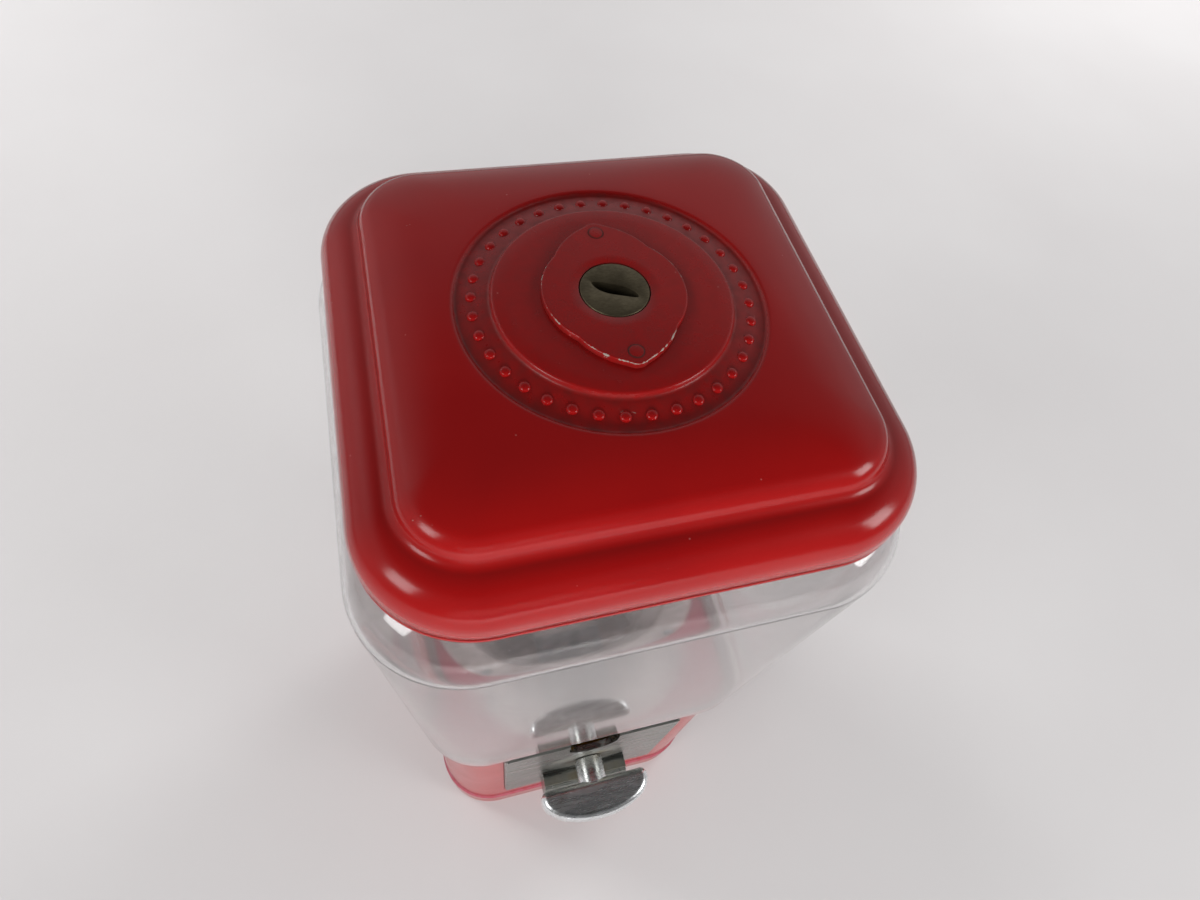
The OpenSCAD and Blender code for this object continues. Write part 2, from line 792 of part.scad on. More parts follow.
// Point on the bowed front, u from -90 at one end to 90 at the other, pushed out square to the core by g
function wing_front_point(u, g, z) =
    let (n = norm([wing_bow * sin(u), wing_half * cos(u)]))
    [(wing_half + g * wing_bow / n) * sin(u),
     wing_core_y - (wing_bow + g * wing_half / n) * cos(u), axis_z + z];

// Point on a back corner, at turn a from the front
function wing_end_point(a, side, g, z) =
    [side * (wing_half + g * sin(a)), wing_core_y - g * cos(a), axis_z + z];

// Half-moon wing with rounded edges, cut out for the neck
module handle_wing() {
    last = 80;
    turns = [for (k = [-wing_round_steps:wing_round_steps]) last * k / wing_round_steps];
    rings = [for (a = turns) wing_ring(wing_edge_r * cos(a),
        (wing_t / 2 - wing_edge_r) * sign(a) + wing_edge_r * sin(a) / sin(last))];
    n = len(rings[0]);
    top = n * (len(rings) - 1);
    color(chrome_grey) difference() {
        polyhedron(
            points = [for (ring = rings, p = ring) p],
            faces = concat(
                [[for (j = [0:n - 1]) j]],
                [[for (j = [n - 1:-1:0]) top + j]],
                [for (i = [0:len(rings) - 2], j = [0:n - 1])
                    let (m = (j + 1) % n) [i * n + j, i * n + n + j, i * n + n + m, i * n + m]]));
        translate([0, 0, axis_z]) y_rod(neck_r + seat_fit, neck_front - seat_fit, wing_back + 5);
    }
}

module handle_neck() {
    color(chrome_grey) translate([0, 0, axis_z]) difference() {
        y_rod(neck_r, neck_front, neck_back);
        y_rod(rod_r + seat_fit, neck_bore_end, neck_back + 1);
    }
}

module handle_shaft() {
    color(steel_grey) translate([0, 0, axis_z]) y_rod(rod_r, neck_bore_end + 0.1, shaft_end);
}

// Disc that takes one coin round in the notch at its top
module coin_carrier() {
    color(brass_yellow) translate([0, 0, axis_z]) difference() {
        y_rod(carrier_r, carrier_y, carrier_y + carrier_t);
        y_rod(rod_r + seat_fit, carrier_y - 1, carrier_y + carrier_t + 1);
        translate([0, 0, carrier_r - 1]) y_rod(coin_r, carrier_y - 1, carrier_y + coin_t);
    }
}

module ratchet_wheel() {
    step = 360 / ratchet_teeth;
    low = ratchet_r - ratchet_depth;
    outline = [for (k = [0:ratchet_teeth - 1], t = [0, 1])
        let (a = step * (k + t * ratchet_ramp), r = t == 0 ? low : ratchet_r) [r * sin(a), r * cos(a)]];
    color(steel_grey) translate([0, 0, axis_z]) difference() {
        y_slab(ratchet_y, ratchet_y + ratchet_t) polygon(outline);
        y_rod(rod_r + seat_fit, ratchet_y - 1, ratchet_y + ratchet_t + 1);
    }
}

// Gravity pawl that rides on the ratchet wheel
module ratchet_pawl() {
    y0 = ratchet_y + (ratchet_t - pawl_t) / 2;
    tip_z = sqrt(pow(pawl_tip_r, 2) - pow(pawl_tip_x, 2));
    color(steel_grey) translate([0, 0, axis_z]) difference() {
        union() {
            translate([pawl_x, 0, pawl_dz]) y_rod(pawl_hub_r, y0, y0 + pawl_t);
            y_slab(y0, y0 + pawl_t) polygon([
                [pawl_x, pawl_dz - 2.5], [pawl_x / 2, tip_z + 1], [pawl_tip_x - 2, tip_z + 0.5],
                [pawl_tip_x, tip_z + 0.1], [pawl_tip_x, tip_z + 2.5], [pawl_x, pawl_dz + pawl_hub_r]]);
        }
        translate([pawl_x, 0, pawl_dz]) y_rod(pawl_pin_r + run_fit, y0 - 1, y0 + pawl_t + 1);
    }
}

module pawl_pin() {
    color(steel_grey) translate([pawl_x, 0, axis_z + pawl_dz])
        y_rod(pawl_pin_r, ratchet_y + 0.1, housing_y + housing_t);
}

// Corner of a tooth: half its width at a height h above the pitch line
function tooth_w(h) = tooth_half - h * gear_slope;

module drive_pinion() {
    step = 360 / pinion_teeth;
    root = pinion_r - tooth_foot + 0.1;
    foot = tooth_w(-tooth_root);
    tip = tooth_w(tooth_top);
    color(steel_grey) translate([0, 0, axis_z]) difference() {
        union() {
            y_rod(root, pinion_start, pinion_end);
            for (k = [0:pinion_teeth - 1]) rotate([0, step * k, 0]) y_slab(pinion_start, pinion_end)
                polygon([[-foot, pinion_r - tooth_root], [foot, pinion_r - tooth_root],
                         [tip, pinion_r + tooth_top], [-tip, pinion_r + tooth_top]]);
        }
        y_rod(rod_r + seat_fit, pinion_start - 1, pinion_end + 1);
    }
}

// Wheel with candy pockets and a ring of gear teeth under its rim
module candy_wheel() {
    step = 360 / crown_teeth;
    lap = 0.3;
    foot = tooth_w(-tooth_foot - lap);
    tip = tooth_w(tooth_top);
    color(alu_grey) difference() {
        union() {
            translate([0, 0, wheel_z]) cylinder(r = wheel_r, h = wheel_t);
            for (k = [0:crown_teeth - 1]) rotate([0, 0, step * (k + 0.5)]) y_slab(-crown_out, -crown_in)
                polygon([[-foot, wheel_z + lap], [foot, wheel_z + lap],
                         [tip, crown_tip_z], [-tip, crown_tip_z]]);
        }
        for (k = [0:pockets - 1]) rotate([0, 0, 360 / pockets * k])
            translate([0, -pocket_ring_r, wheel_z - 1]) cylinder(d = pocket_d, h = wheel_t + 2);
        translate([0, 0, wheel_z - 1]) cylinder(r = bush_r + seat_fit, h = wheel_t + 2);
    }
}

module wheel_bush() {
    color(brass_yellow) translate([0, 0, wheel_z]) difference() {
        cylinder(r = bush_r, h = bush_top - wheel_z);
        translate([0, 0, -1]) cylinder(r = rod_r + run_fit, h = bush_top - wheel_z + 2);
    }
}

module globe_gasket() {
    in_x = foot_x - globe_wall - foot_rim;
    color(rubber_black) swept(globe_c) translate([in_x, base_h + 0.05])
        square([foot_x - in_x, gasket_t - 0.1]);
}

// Solid shape of the globe in section, drawn in by i from its outside
module globe_section(i) {
    arc_x = shoulder_x - shoulder_r;
    polygon([[0, globe_z], [foot_x, globe_z], [foot_wall_x - i, foot_wall_z],
             [shoulder_x - i, shoulder_z], [0, shoulder_z]]);
    translate([foot_x, foot_wall_z]) circle(globe_foot_r - i);
    intersection() {
        translate([arc_x, shoulder_z]) circle(shoulder_r - i);
        translate([0, shoulder_z - eps]) square([shoulder_x + 1, shoulder_r + 1]);
    }
    translate([0, shoulder_z - eps]) square([neck_x - i, neck_top - shoulder_z + i]);
}

module globe() {
    color(clear_tint) swept(globe_c) difference() {
        globe_section(0);
        intersection() {
            globe_section(globe_wall);
            translate([-1, globe_z + foot_rim_h]) square([far, far]);
        }
        translate([-1, globe_z - 10]) square([foot_x - globe_wall - foot_rim + 1, foot_rim_h + 11]);
    }
}

module lid_gasket() {
    color(rubber_black) swept(globe_c) translate([neck_x - globe_wall, neck_top + 0.05])
        square([globe_wall, gasket_t - 0.1]);
}

// Outside of the lid in section, from the lip to the edge of its flat middle
module lid_outside() {
    difference() {
        union() {
            square([lip_x, lip_h]);
            intersection() {
                translate([bead_x, lip_h]) circle(bead_r);
                translate([0, lip_h - eps]) square([lip_x, bead_r + 1]);
            }
            translate([0, lip_h - eps]) square([bead_x, bead_r]);
            valley_fill();
            square([step_x, step_h - edge_r]);
            translate([crown_arc_x, step_h - edge_r]) circle(edge_r);
            square([crown_arc_x, step_h]);
            intersection() {
                translate([0, flat_h - crown_arc_r]) circle(crown_arc_r);
                translate([0, lip_h]) square([crown_arc_x, lid_h]);
            }
        }
        translate([lip_x - 0.6, seam_h]) square([1, seam_w]);
        translate([-far, -far / 2]) square([far, far]);
    }
}

// Small hollow curve between the bead and the step
module valley_fill() {
    cx = step_x + valley_r;
    cz = lip_h + valley_dz;
    touch = bead_r / (bead_r + valley_r);
    difference() {
        translate([step_x - 1, lip_h]) square([1 + cx - step_x - valley_dx * (1 - touch), valley_dz]);
        translate([cx, cz]) circle(valley_r);
    }
}

// Hollow inside the lid in section
module lid_inside() {
    skirt = lip_x - lid_wall;
    wall = step_x - lid_wall;
    polygon([[0, -1], [skirt, -1], [skirt, lip_h], [skirt - skirt_taper, ledge_h], [wall, ledge_h],
             [wall, step_h - edge_r], [wall - 3, ceiling_h - 1.5], [0, ceiling_h]]);
}

module lid() {
    color(paint_red) translate([0, 0, lid_z]) difference() {
        union() {
            swept(lid_c) difference() {
                lid_outside();
                lid_inside();
            }
            translate([-lid_c, -lid_c, ceiling_h]) cube([2 * lid_c, 2 * lid_c, flat_h - ceiling_h]);
            lid_cap();
            translate([0, 0, lock_low - lid_z]) cylinder(r = lock_boss_r, h = lid_h - 1 - lock_low + lid_z);
        }
        translate([0, 0, -1]) cylinder(r = lock_r + run_fit, h = far);
        for (y = [-rivet_at, rivet_at]) translate([0, y, ceiling_h - 1])
            cylinder(r = rivet_shank_r + seat_fit, h = far);
    }
}

// Shallow round crown with its ring channel, pips and flat middle
module lid_cap() {
    mid_r = (ring_in_r + ring_out_r) / 2;
    pip_top = cap_z + sqrt(pow(cap_r - ring_depth, 2) - pow(mid_r, 2)) + pip_h;
    difference() {
        intersection() {
            translate([0, 0, cap_z]) sphere(cap_r);
            translate([0, 0, ceiling_h + 0.5]) cylinder(r = lid_c, h = lid_h - ceiling_h - 0.5);
        }
        difference() {
            translate([0, 0, ceiling_h]) cylinder(r = ring_out_r, h = far);
            translate([0, 0, ceiling_h - 1]) cylinder(r = ring_in_r, h = far);
            translate([0, 0, cap_z]) sphere(cap_r - ring_depth);
        }
    }
    for (k = [0:pip_count - 1]) rotate([0, 0, 360 / pip_count * k])
        translate([mid_r, 0, pip_top - pip_h - 0.5]) cylinder(r = pip_r, h = pip_h + 0.5);
    translate([0, 0, flat_h - 0.5]) cylinder(r = ring_in_r, h = lid_h - flat_h + 0.5);
}

// Outline of the lock plate: a round middle drawn out to an ear for each rivet
function lock_outline() =
    let (mid = lock_plate_w / 2, lean = asin((mid - lock_ear_r) / rivet_at))
    [for (side = [1, -1], ear = [0, 1], k = [0:lock_steps])
        let (t = ear == 0 ? lean * (2 * k / lock_steps - 1) : lean + (180 - 2 * lean) * k / lock_steps,
             r = ear == 0 ? mid : lock_ear_r)
        [side * r * cos(t), side * (ear * rivet_at + r * sin(t))]];

module lock_plate() {
    color(paint_red) translate([0, 0, lock_plate_z + 0.05]) difference() {
        linear_extrude(lock_plate_t - 0.05) polygon(lock_outline());
        translate([0, 0, -1]) cylinder(r = lock_r + run_fit, h = 10);
        for (y = [-rivet_at, rivet_at]) translate([0, y, -1])
            cylinder(r = rivet_shank_r + seat_fit, h = 10);
    }
}

module lock_rivets() {
    shank = lid_h - ceiling_h + lock_plate_t;
    color(steel_grey) for (y = [-rivet_at, rivet_at]) translate([0, y, lock_face + 0.05]) {
        intersection() {
            translate([0, 0, rivet_h - rivet_dome_r]) sphere(rivet_dome_r);
            cylinder(r = rivet_r, h = rivet_h + 1);
        }
        translate([0, 0, -shank]) cylinder(r = rivet_shank_r, h = shank + rivet_h / 2);
    }
}

// Turning face of the lock, with its key slot
module lock_cylinder() {
    color(brass_olive) translate([0, 0, lock_low]) difference() {
        cylinder(r = lock_r, h = lock_face - lock_low);
        translate([0, 0, lock_face - lock_low - key_slot_deep]) rotate([0, 0, -key_slot_turn])
            translate([-key_slot_l / 2, -key_slot_w / 2, 0])
                cube([key_slot_l, key_slot_w, key_slot_deep + 1]);
    }
}

// Sleeve below the lock that draws the lid down on the tie rod
module lock_nut() {
    h = lock_low - lock_nut_z;
    color(steel_grey) translate([0, 0, lock_nut_z]) difference() {
        cylinder(r = lock_nut_r, h = h);
        translate([0, 0, -1]) cylinder(r = rod_r + run_fit, h = rod_top - lock_nut_z + 2.5);
    }
}

module lock_retainer() {
    color(steel_grey) translate([0, 0, lock_low - retainer_t - 0.3]) difference() {
        cylinder(r = retainer_r, h = retainer_t);
        translate([0, 0, -1]) cylinder(r = lock_nut_r + seat_fit, h = retainer_t + 2);
    }
}

base_shell();
bottom_plate();
bottom_screws();
front_plate();
plate_nuts();
mech_housing();
mech_screws();
wheel_pan();
hopper_funnel();
deck_screws();
cutoff_shield();
shield_rivets();
centre_rod();
rod_washer();
rod_nut();
wheel_collar();
drop_chute();
chute_flap();
flap_pin();
handle_wing();
handle_neck();
handle_shaft();
coin_carrier();
ratchet_wheel();
ratchet_pawl();
pawl_pin();
drive_pinion();
candy_wheel();
wheel_bush();
globe_gasket();
globe();
lid_gasket();
lid();
lock_plate();
lock_rivets();
lock_cylinder();
lock_nut();
lock_retainer();
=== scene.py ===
# %% [markdown]
# # A counter-top candy vending machine
# The machine is a square cast base, a clear globe, a red lid with a lock and a chromed coin plate.
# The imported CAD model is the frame: every piece made here sits where its solid sits and rides on the
# same body, so the joints go on working. Its sizes are written in millimetres, and MM makes them metres.

# %% Frame and units
import json
import math

import bmesh
import bpy
import numpy as np
from mathutils import Matrix, Vector


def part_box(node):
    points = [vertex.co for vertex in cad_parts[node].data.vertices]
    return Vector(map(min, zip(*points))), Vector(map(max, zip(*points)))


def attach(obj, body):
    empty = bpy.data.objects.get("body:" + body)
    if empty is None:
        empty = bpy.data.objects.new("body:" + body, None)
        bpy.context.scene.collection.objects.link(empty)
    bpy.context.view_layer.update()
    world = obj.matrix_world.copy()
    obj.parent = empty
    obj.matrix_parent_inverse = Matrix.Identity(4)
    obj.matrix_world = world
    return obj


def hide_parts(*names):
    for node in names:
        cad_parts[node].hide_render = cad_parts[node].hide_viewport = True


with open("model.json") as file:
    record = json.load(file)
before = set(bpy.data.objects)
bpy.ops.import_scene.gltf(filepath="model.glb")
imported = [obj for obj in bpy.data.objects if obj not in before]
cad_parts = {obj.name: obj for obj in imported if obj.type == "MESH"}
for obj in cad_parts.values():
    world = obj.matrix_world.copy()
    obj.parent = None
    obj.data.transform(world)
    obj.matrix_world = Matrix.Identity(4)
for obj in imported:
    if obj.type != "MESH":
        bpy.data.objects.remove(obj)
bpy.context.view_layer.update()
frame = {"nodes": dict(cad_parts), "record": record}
MM = 0.001

# %% [markdown]
# ## Camera
# The photograph was taken from close above the front left corner, with the camera held a little askew.
# A camera fitted to the lid, the plate and the base gives its place, its lens and its turn, so the
# three angles below are simply turned into the camera's own axes.

# %% Camera
CAMERA_AT = (-58.5, -142.7, 558.5)
CAMERA_LENS, SENSOR_WIDTH = 22.05, 36
AZIMUTH, ELEVATION, ROLL = (math.radians(a) for a in (24.28, 58.04, 11.79))

forward = math.cos(ELEVATION)
ahead = Vector((math.sin(AZIMUTH) * forward, math.cos(AZIMUTH) * forward, -math.sin(ELEVATION)))
level = Vector((math.cos(AZIMUTH), -math.sin(AZIMUTH), 0))
down = ahead.cross(level)
right = level * math.cos(ROLL) - down * math.sin(ROLL)
up = -(level * math.sin(ROLL) + down * math.cos(ROLL))
camera_data = bpy.data.cameras.new("photo_camera")
camera_data.sensor_width = SENSOR_WIDTH
camera_data.lens = CAMERA_LENS
camera_data.clip_start = 0.01
camera = bpy.data.objects.new("photo_camera", camera_data)
camera_axes = Matrix((right, up, -ahead)).transposed().to_4x4()
camera.matrix_world = Matrix.Translation(Vector(CAMERA_AT) * MM) @ camera_axes
bpy.context.scene.collection.objects.link(camera)
bpy.context.scene.camera = camera
print("camera looks along", [round(v, 3) for v in ahead])

# %% [markdown]
# ## Helpers for materials
# Colours are written as the hex values a painter would read off a screen, and one function makes them
# linear. A second function adds a node, sets its inputs and links whatever is handed to it.

# %% Material helpers
def colour(code):
    """sRGB hex code as linear RGBA."""
    parts = [int(code[i:i + 2], 16) / 255 for i in (1, 3, 5)]
    return tuple(p / 12.92 if p <= 0.04045 else ((p + 0.055) / 1.055) ** 2.4 for p in parts) + (1.0,)


def add(tree, kind, inputs=None, **settings):
    """Adds a node, sets its properties and fills or links its inputs."""
    node = tree.nodes.new(kind)
    for name, value in settings.items():
        setattr(node, name, value)
    for name, value in (inputs or {}).items():
        if isinstance(value, bpy.types.NodeSocket):
            tree.links.new(value, node.inputs[name])
        else:
            node.inputs[name].default_value = value
    return node


def new_material(name):
    """Empty node material, its output node and the place of a point in the object's own coordinates."""
    material = bpy.data.materials.new(name)
    material.use_nodes = True
    tree = material.node_tree
    tree.nodes.clear()
    out = tree.nodes.new("ShaderNodeOutputMaterial")
    return material, tree, out, add(tree, "ShaderNodeTexCoord").outputs["Object"]


# %% [markdown]
# The materials are all made of the same few steps: noise with marks of a known size, a ramp that turns it
# into a share, a blend of two colours by that share, some sums and a bump. Each step gets a short name here.

# %% Steps of a material
def per_mm(size):
    """Texture scale that gives marks of about this size in millimetres."""
    return 1 / (size * MM)


def noise(tree, place, size, detail, roughness=0.5):
    """Noise with marks of about this size in millimetres."""
    return add(tree, "ShaderNodeTexNoise", {
        "Vector": place, "Scale": per_mm(size), "Detail": detail, "Roughness": roughness}).outputs["Fac"]


def ramp(tree, value, start, end, low=0.0, high=1.0):
    """Straight line from low at the start value to high at the end value, level beyond both."""
    return add(tree, "ShaderNodeMapRange", {
        "Value": value, "From Min": start, "From Max": end, "To Min": low, "To Max": high}).outputs["Result"]


def blend(tree, share, first, second):
    """Mix of two colours, each a hex code or an output."""
    first, second = (colour(c) if isinstance(c, str) else c for c in (first, second))
    node = add(tree, "ShaderNodeMix", {"Factor": share, "A": first, "B": second}, data_type="RGBA")
    return node.outputs["Result"]


def maths(tree, operation, *values, clamp=False):
    """Result of one operation on two or three values."""
    inputs = dict(enumerate(values))
    return add(tree, "ShaderNodeMath", inputs, operation=operation, use_clamp=clamp).outputs[0]


def attribute(tree, name):
    """Value of a point attribute of the mesh, 0 where it has none."""
    return add(tree, "ShaderNodeAttribute", attribute_name=name).outputs["Fac"]


def relief(tree, height, strength, depth=0.1):
    """Bump of the surface by a height, as deep in millimetres as depth says."""
    return add(tree, "ShaderNodeBump", {
        "Height": height, "Strength": strength, "Distance": depth * MM}).outputs["Normal"]


def principled(tree, out, inputs):
    """Principled shader as the material's surface."""
    shader = add(tree, "ShaderNodeBsdfPrincipled", inputs)
    tree.links.new(shader.outputs[0], out.inputs["Surface"])


# %% [markdown]
# ## Red stove enamel
# The castings were sprayed with a thick red enamel and baked. That gives a hard gloss with a slight
# orange-peel, a deeper crimson where the coat is thick, brown dirt in the hollows and pale metal where the
# edges were knocked. Three point attributes, "grime_and_shade", "wear" and "powder_and_sheen", say where the
# dirt and painted shade, the knocks, and the pale dust and painted sheen are.

# %% Red stove enamel
def red_enamel():
    material, tree, out, place = new_material("red_stove_enamel_sprayed")
    # Cloudy depth of the coat, in patches of about 45 mm
    cloud = noise(tree, place, 45, 3.0)
    coat = blend(tree, cloud, "#780A0C", "#8C0F0D")
    # Brown dirt where the grime_and_shade attribute says so, broken up in 3 mm blotches; on the lid's flat
    # middle and the lock flange the same darkening is painted shade
    blotch = noise(tree, place, 3, 4.0)
    dark_share = maths(tree, "MULTIPLY", attribute(tree, "grime_and_shade"), blotch)
    dirt_and_shade_coat = blend(tree, dark_share, coat, "#3A1512")
    # Chips down to pale primer and metal along knocked edges: 1.6 mm grain in 11 mm patches
    grain = noise(tree, place, 1.6, 5.0, 0.65)
    knock = maths(tree, "MULTIPLY", grain, noise(tree, place, 11, 2.0))
    reach = maths(tree, "MULTIPLY_ADD", attribute(tree, "wear"), 0.3, knock)
    chip = ramp(tree, reach, 0.5, 0.53)
    bare = blend(tree, chip, dirt_and_shade_coat, "#8A8078")
    # A few specks of dust, drawn 0.5 mm wide so that they show
    speck = add(tree, "ShaderNodeTexVoronoi", {"Vector": place, "Scale": per_mm(9)}).outputs["Distance"]
    dusty = blend(tree, ramp(tree, speck, 0.035, 0.02, high=0.25), bare, "#C98A86")
    # Pale dust and candy powder where the powder_and_sheen attribute says so, with a painted pale sheen that
    # stands in for the room's reflection
    veil = ramp(tree, blotch, 0.3, 0.7, 0.3, 0.55)
    cover = maths(tree, "MULTIPLY", attribute(tree, "powder_and_sheen"), veil)
    pale = blend(tree, cover, dusty, "#98707E")
    # Roughness 0.13 to 0.22 on clean enamel, more in dirt and painted shade and on chips
    sheen = ramp(tree, cloud, 0.3, 0.7, 0.13, 0.22)
    dull = maths(tree, "MULTIPLY_ADD", dark_share, 0.45, sheen)
    rough = maths(tree, "MULTIPLY_ADD", chip, 0.3, dull, clamp=True)
    # Orange-peel of 2.5 mm, and chips lie a little lower
    skin = maths(tree, "MULTIPLY_ADD", chip, -1.5, noise(tree, place, 2.5, 1.0))
    principled(tree, out, {"Base Color": pale, "Roughness": rough, "Specular IOR Level": 0.32,
                           "Normal": relief(tree, skin, 0.12)})
    return material


RED = red_enamel()
print("made", RED.name)

# %% [markdown]
# ## Chromed die casting
# The plate, the wing and the flap are die castings, polished and chromed. Years of wiping leave fine streaks
# that spread the reflections sideways. Fingers rub the handle bright, while on the plate the chrome goes
# dull, and it is coloured darker and browner round the handle and on the hood of the outlet.

# %% Chrome
AXIS_Z, ROOF_Z, FACE_Y = 100, 74, -86
DARK_EDGE, DARK_FULL = 26, 8


def dark_round_handle(tree, place, stain, dark_amount):
    """Share of darker, browner colour: round the handle's axis, and on the hood's roof, which stands out from
    the face.
    """
    off_axis = add(tree, "ShaderNodeVectorMath", {0: place, 1: (0, 0, AXIS_Z * MM)}, operation="SUBTRACT")
    flat = add(tree, "ShaderNodeVectorMath", {0: off_axis.outputs[0], 1: (1, 0, 1)}, operation="MULTIPLY")
    away = add(tree, "ShaderNodeVectorMath", {0: flat.outputs[0]}, operation="LENGTH").outputs["Value"]
    near = ramp(tree, away, DARK_EDGE * MM, DARK_FULL * MM)
    spot = add(tree, "ShaderNodeSeparateXYZ", {"Vector": place}).outputs
    proud = ramp(tree, spot["Y"], FACE_Y * MM, (FACE_Y - 2) * MM)
    high = ramp(tree, spot["Z"], (ROOF_Z - 3) * MM, ROOF_Z * MM)
    where = maths(tree, "MAXIMUM", near, maths(tree, "MULTIPLY", proud, high))
    patchy = ramp(tree, stain, 0.3, 0.6, 0.35 * dark_amount, dark_amount)
    return maths(tree, "MULTIPLY", where, patchy, clamp=True)


def worn_chrome(name, bright, stained, dark_amount, scratch):
    """Chrome between two tints, with dark_amount as the share of darker, browner colour and scratch as the
    depth of the streaks.
    """
    material, tree, out, place = new_material(name)
    # Wiping streaks along X, drawn 1.5 mm apart so that they show
    stretch = add(tree, "ShaderNodeMapping", {"Vector": place, "Scale": (0.06, 1.0, 1.0)}).outputs["Vector"]
    streak = noise(tree, stretch, 1.5, 4.0)
    stain = noise(tree, place, 9, 4.0)
    tint = blend(tree, ramp(tree, stain, 0.56, 0.78, high=0.5), bright, stained)
    rough = ramp(tree, streak, 0.3, 0.7, 0.2, 0.36)
    clean = 1.0
    # Darker, browner chrome round the handle's axis and on the hood's roof
    if dark_amount:
        dark_share = dark_round_handle(tree, place, stain, dark_amount)
        tint = blend(tree, dark_share, tint, "#5C5341")
        rough = maths(tree, "MULTIPLY_ADD", dark_share, 0.4, rough)
        clean = maths(tree, "SUBTRACT", 1.0, dark_share)
    principled(tree, out, {"Base Color": tint, "Metallic": clean, "Roughness": rough,
                           "Normal": relief(tree, streak, scratch)})
    return material


CHROME = worn_chrome("chrome_plated_die_casting_polished", "#8F918C", "#6C674F", 0.9, 0.08)
RUBBED_CHROME = worn_chrome("chrome_plated_die_casting_rubbed", "#EDEFF0", "#A8A59C", 0.0, 0.02)
print("made", CHROME.name, "and", RUBBED_CHROME.name)

# %% [markdown]
# ## Clear globe
# The globe is pressed clear glass. Glass stops Cycles' lamps, so a plain glass shader would leave the inside
# black: for shadow rays the surface is mixed to a transparent one, and the lamps reach the deck. A slow wave
# in the surface, some 40 mm long, is left by the mould. A pale film lies on the outside, partly fine dust and
# partly a painted reflection of the pale table and room: face on it is hardly there, but along a wall seen
# edgeways the eye meets more of it and the wall turns milky. On the shoulder, which faces up, it lies
# thicker, and there it also paints in the bright reflection of the room.

# %% Glass
SHOULDER_Z = 344
GLASS_IOR = 1.5


def pressed_glass():
    material, tree, out, place = new_material("clear_pressed_glass")
    wave = relief(tree, noise(tree, place, 40, 1.0), 0.25, 0.6)
    clear = add(tree, "ShaderNodeBsdfPrincipled", {
        "Base Color": colour("#F6F5F5"), "Roughness": 0.07, "IOR": GLASS_IOR, "Transmission Weight": 1.0,
        "Normal": wave})
    # Dust and painted reflection in 25 mm clouds, from 2 % face on to 12 % along a wall
    edgeways = add(tree, "ShaderNodeLayerWeight", {"Blend": 0.5}).outputs["Facing"]
    film_and_reflection = ramp(tree, edgeways, 0.3, 0.75, 0.02, 0.12)
    # Another 10 % of it lies on the shoulder: settled dust, and a painted reflection of the bright room
    height = add(tree, "ShaderNodeSeparateXYZ", {"Vector": place}).outputs["Z"]
    settled_and_reflection = ramp(tree, height, (SHOULDER_Z + 6) * MM, (SHOULDER_Z + 16) * MM, high=0.1)
    patchy = ramp(tree, noise(tree, place, 25, 4.0), 0.0, 1.0, 0.7, 1.2)
    share = maths(tree, "MULTIPLY", maths(tree, "ADD", film_and_reflection, settled_and_reflection), patchy)
    # The film's pale shader: dust, and a painted reflection of the pale room
    dust = add(tree, "ShaderNodeBsdfPrincipled", {
        "Base Color": colour("#9A9595"), "Roughness": 0.1, "IOR": GLASS_IOR})
    dusty = add(tree, "ShaderNodeMixShader", {0: share, 1: clear.outputs[0], 2: dust.outputs[0]})
    through = add(tree, "ShaderNodeBsdfTransparent", {"Color": colour("#F2F1F1")})
    shadow = add(tree, "ShaderNodeLightPath").outputs["Is Shadow Ray"]
    mix = add(tree, "ShaderNodeMixShader", {0: shadow, 1: dusty.outputs[0], 2: through.outputs[0]})
    tree.links.new(mix.outputs[0], out.inputs["Surface"])
    return material


GLASS = pressed_glass()
print("made", GLASS.name)

# %% [markdown]
# ## Bare metals and rubber
# Inside are bare metals: cast aluminium scratched by candy, zinc-plated steel, turned brass, and the lock's
# dull bronze. They share one recipe, a tinted metal with blotches, scratches in one direction and a bump,
# and differ in colour, gloss and the size of the marks. Candy dust hides much of the aluminium's shine. The
# gaskets are plain moulded rubber.

# %% Bare metals and rubber
def bare_metal(name, light, dark, gloss, scratch_mm, stretch, blotch_mm, dust=0.0):
    """Metal with blotches between two tints and stretched scratches. Dust is the share that hides it."""
    material, tree, out, place = new_material(name)
    turned = add(tree, "ShaderNodeMapping", {"Vector": place, "Rotation": (0, 0, 0.6), "Scale": stretch})
    scratch = noise(tree, turned.outputs["Vector"], scratch_mm, 6.0, 0.7)
    marks = maths(tree, "MULTIPLY", noise(tree, place, blotch_mm, 5.0), scratch)
    share = ramp(tree, marks, 0.14, 0.36)
    principled(tree, out, {
        "Base Color": blend(tree, share, dark, light),
        "Metallic": ramp(tree, share, 0.0, 1.0, 1 - dust, 1 - dust / 2) if dust else 1.0,
        "Roughness": ramp(tree, scratch, 0.3, 0.7, gloss + 0.12, gloss - 0.08),
        "Normal": relief(tree, scratch, 0.2)})
    return material


def moulded_rubber():
    material, tree, out, place = new_material("black_rubber_moulded")
    # Bloom and candy powder: a pale film in 4 mm patches that hides most of the black
    bloom = noise(tree, place, 4, 4.0)
    principled(tree, out, {
        "Base Color": blend(tree, bloom, "#4F4243", "#85706F"),
        "Roughness": ramp(tree, bloom, 0.0, 1.0, 0.55, 0.85), "Normal": relief(tree, bloom, 0.2)})
    return material


ALUMINIUM = bare_metal("cast_aluminium_scratched", "#C4B9B7", "#8A7E7C", 0.6, 1.2, (0.08, 1, 1), 14, dust=0.7)
STEEL = bare_metal("zinc_plated_steel_rolled", "#B9BCBD", "#83878A", 0.36, 1.0, (0.1, 1, 1), 8)
BRASS = bare_metal("brass_turned", "#C2A255", "#8A6F35", 0.32, 0.8, (0.1, 1, 1), 9)
BRONZE = bare_metal("lock_bronze_tarnished", "#746B56", "#5C5443", 0.5, 0.7, (0.5, 1, 1), 5)
RUBBER = moulded_rubber()
print("made", [m.name for m in (ALUMINIUM, STEEL, BRASS, BRONZE, RUBBER)])

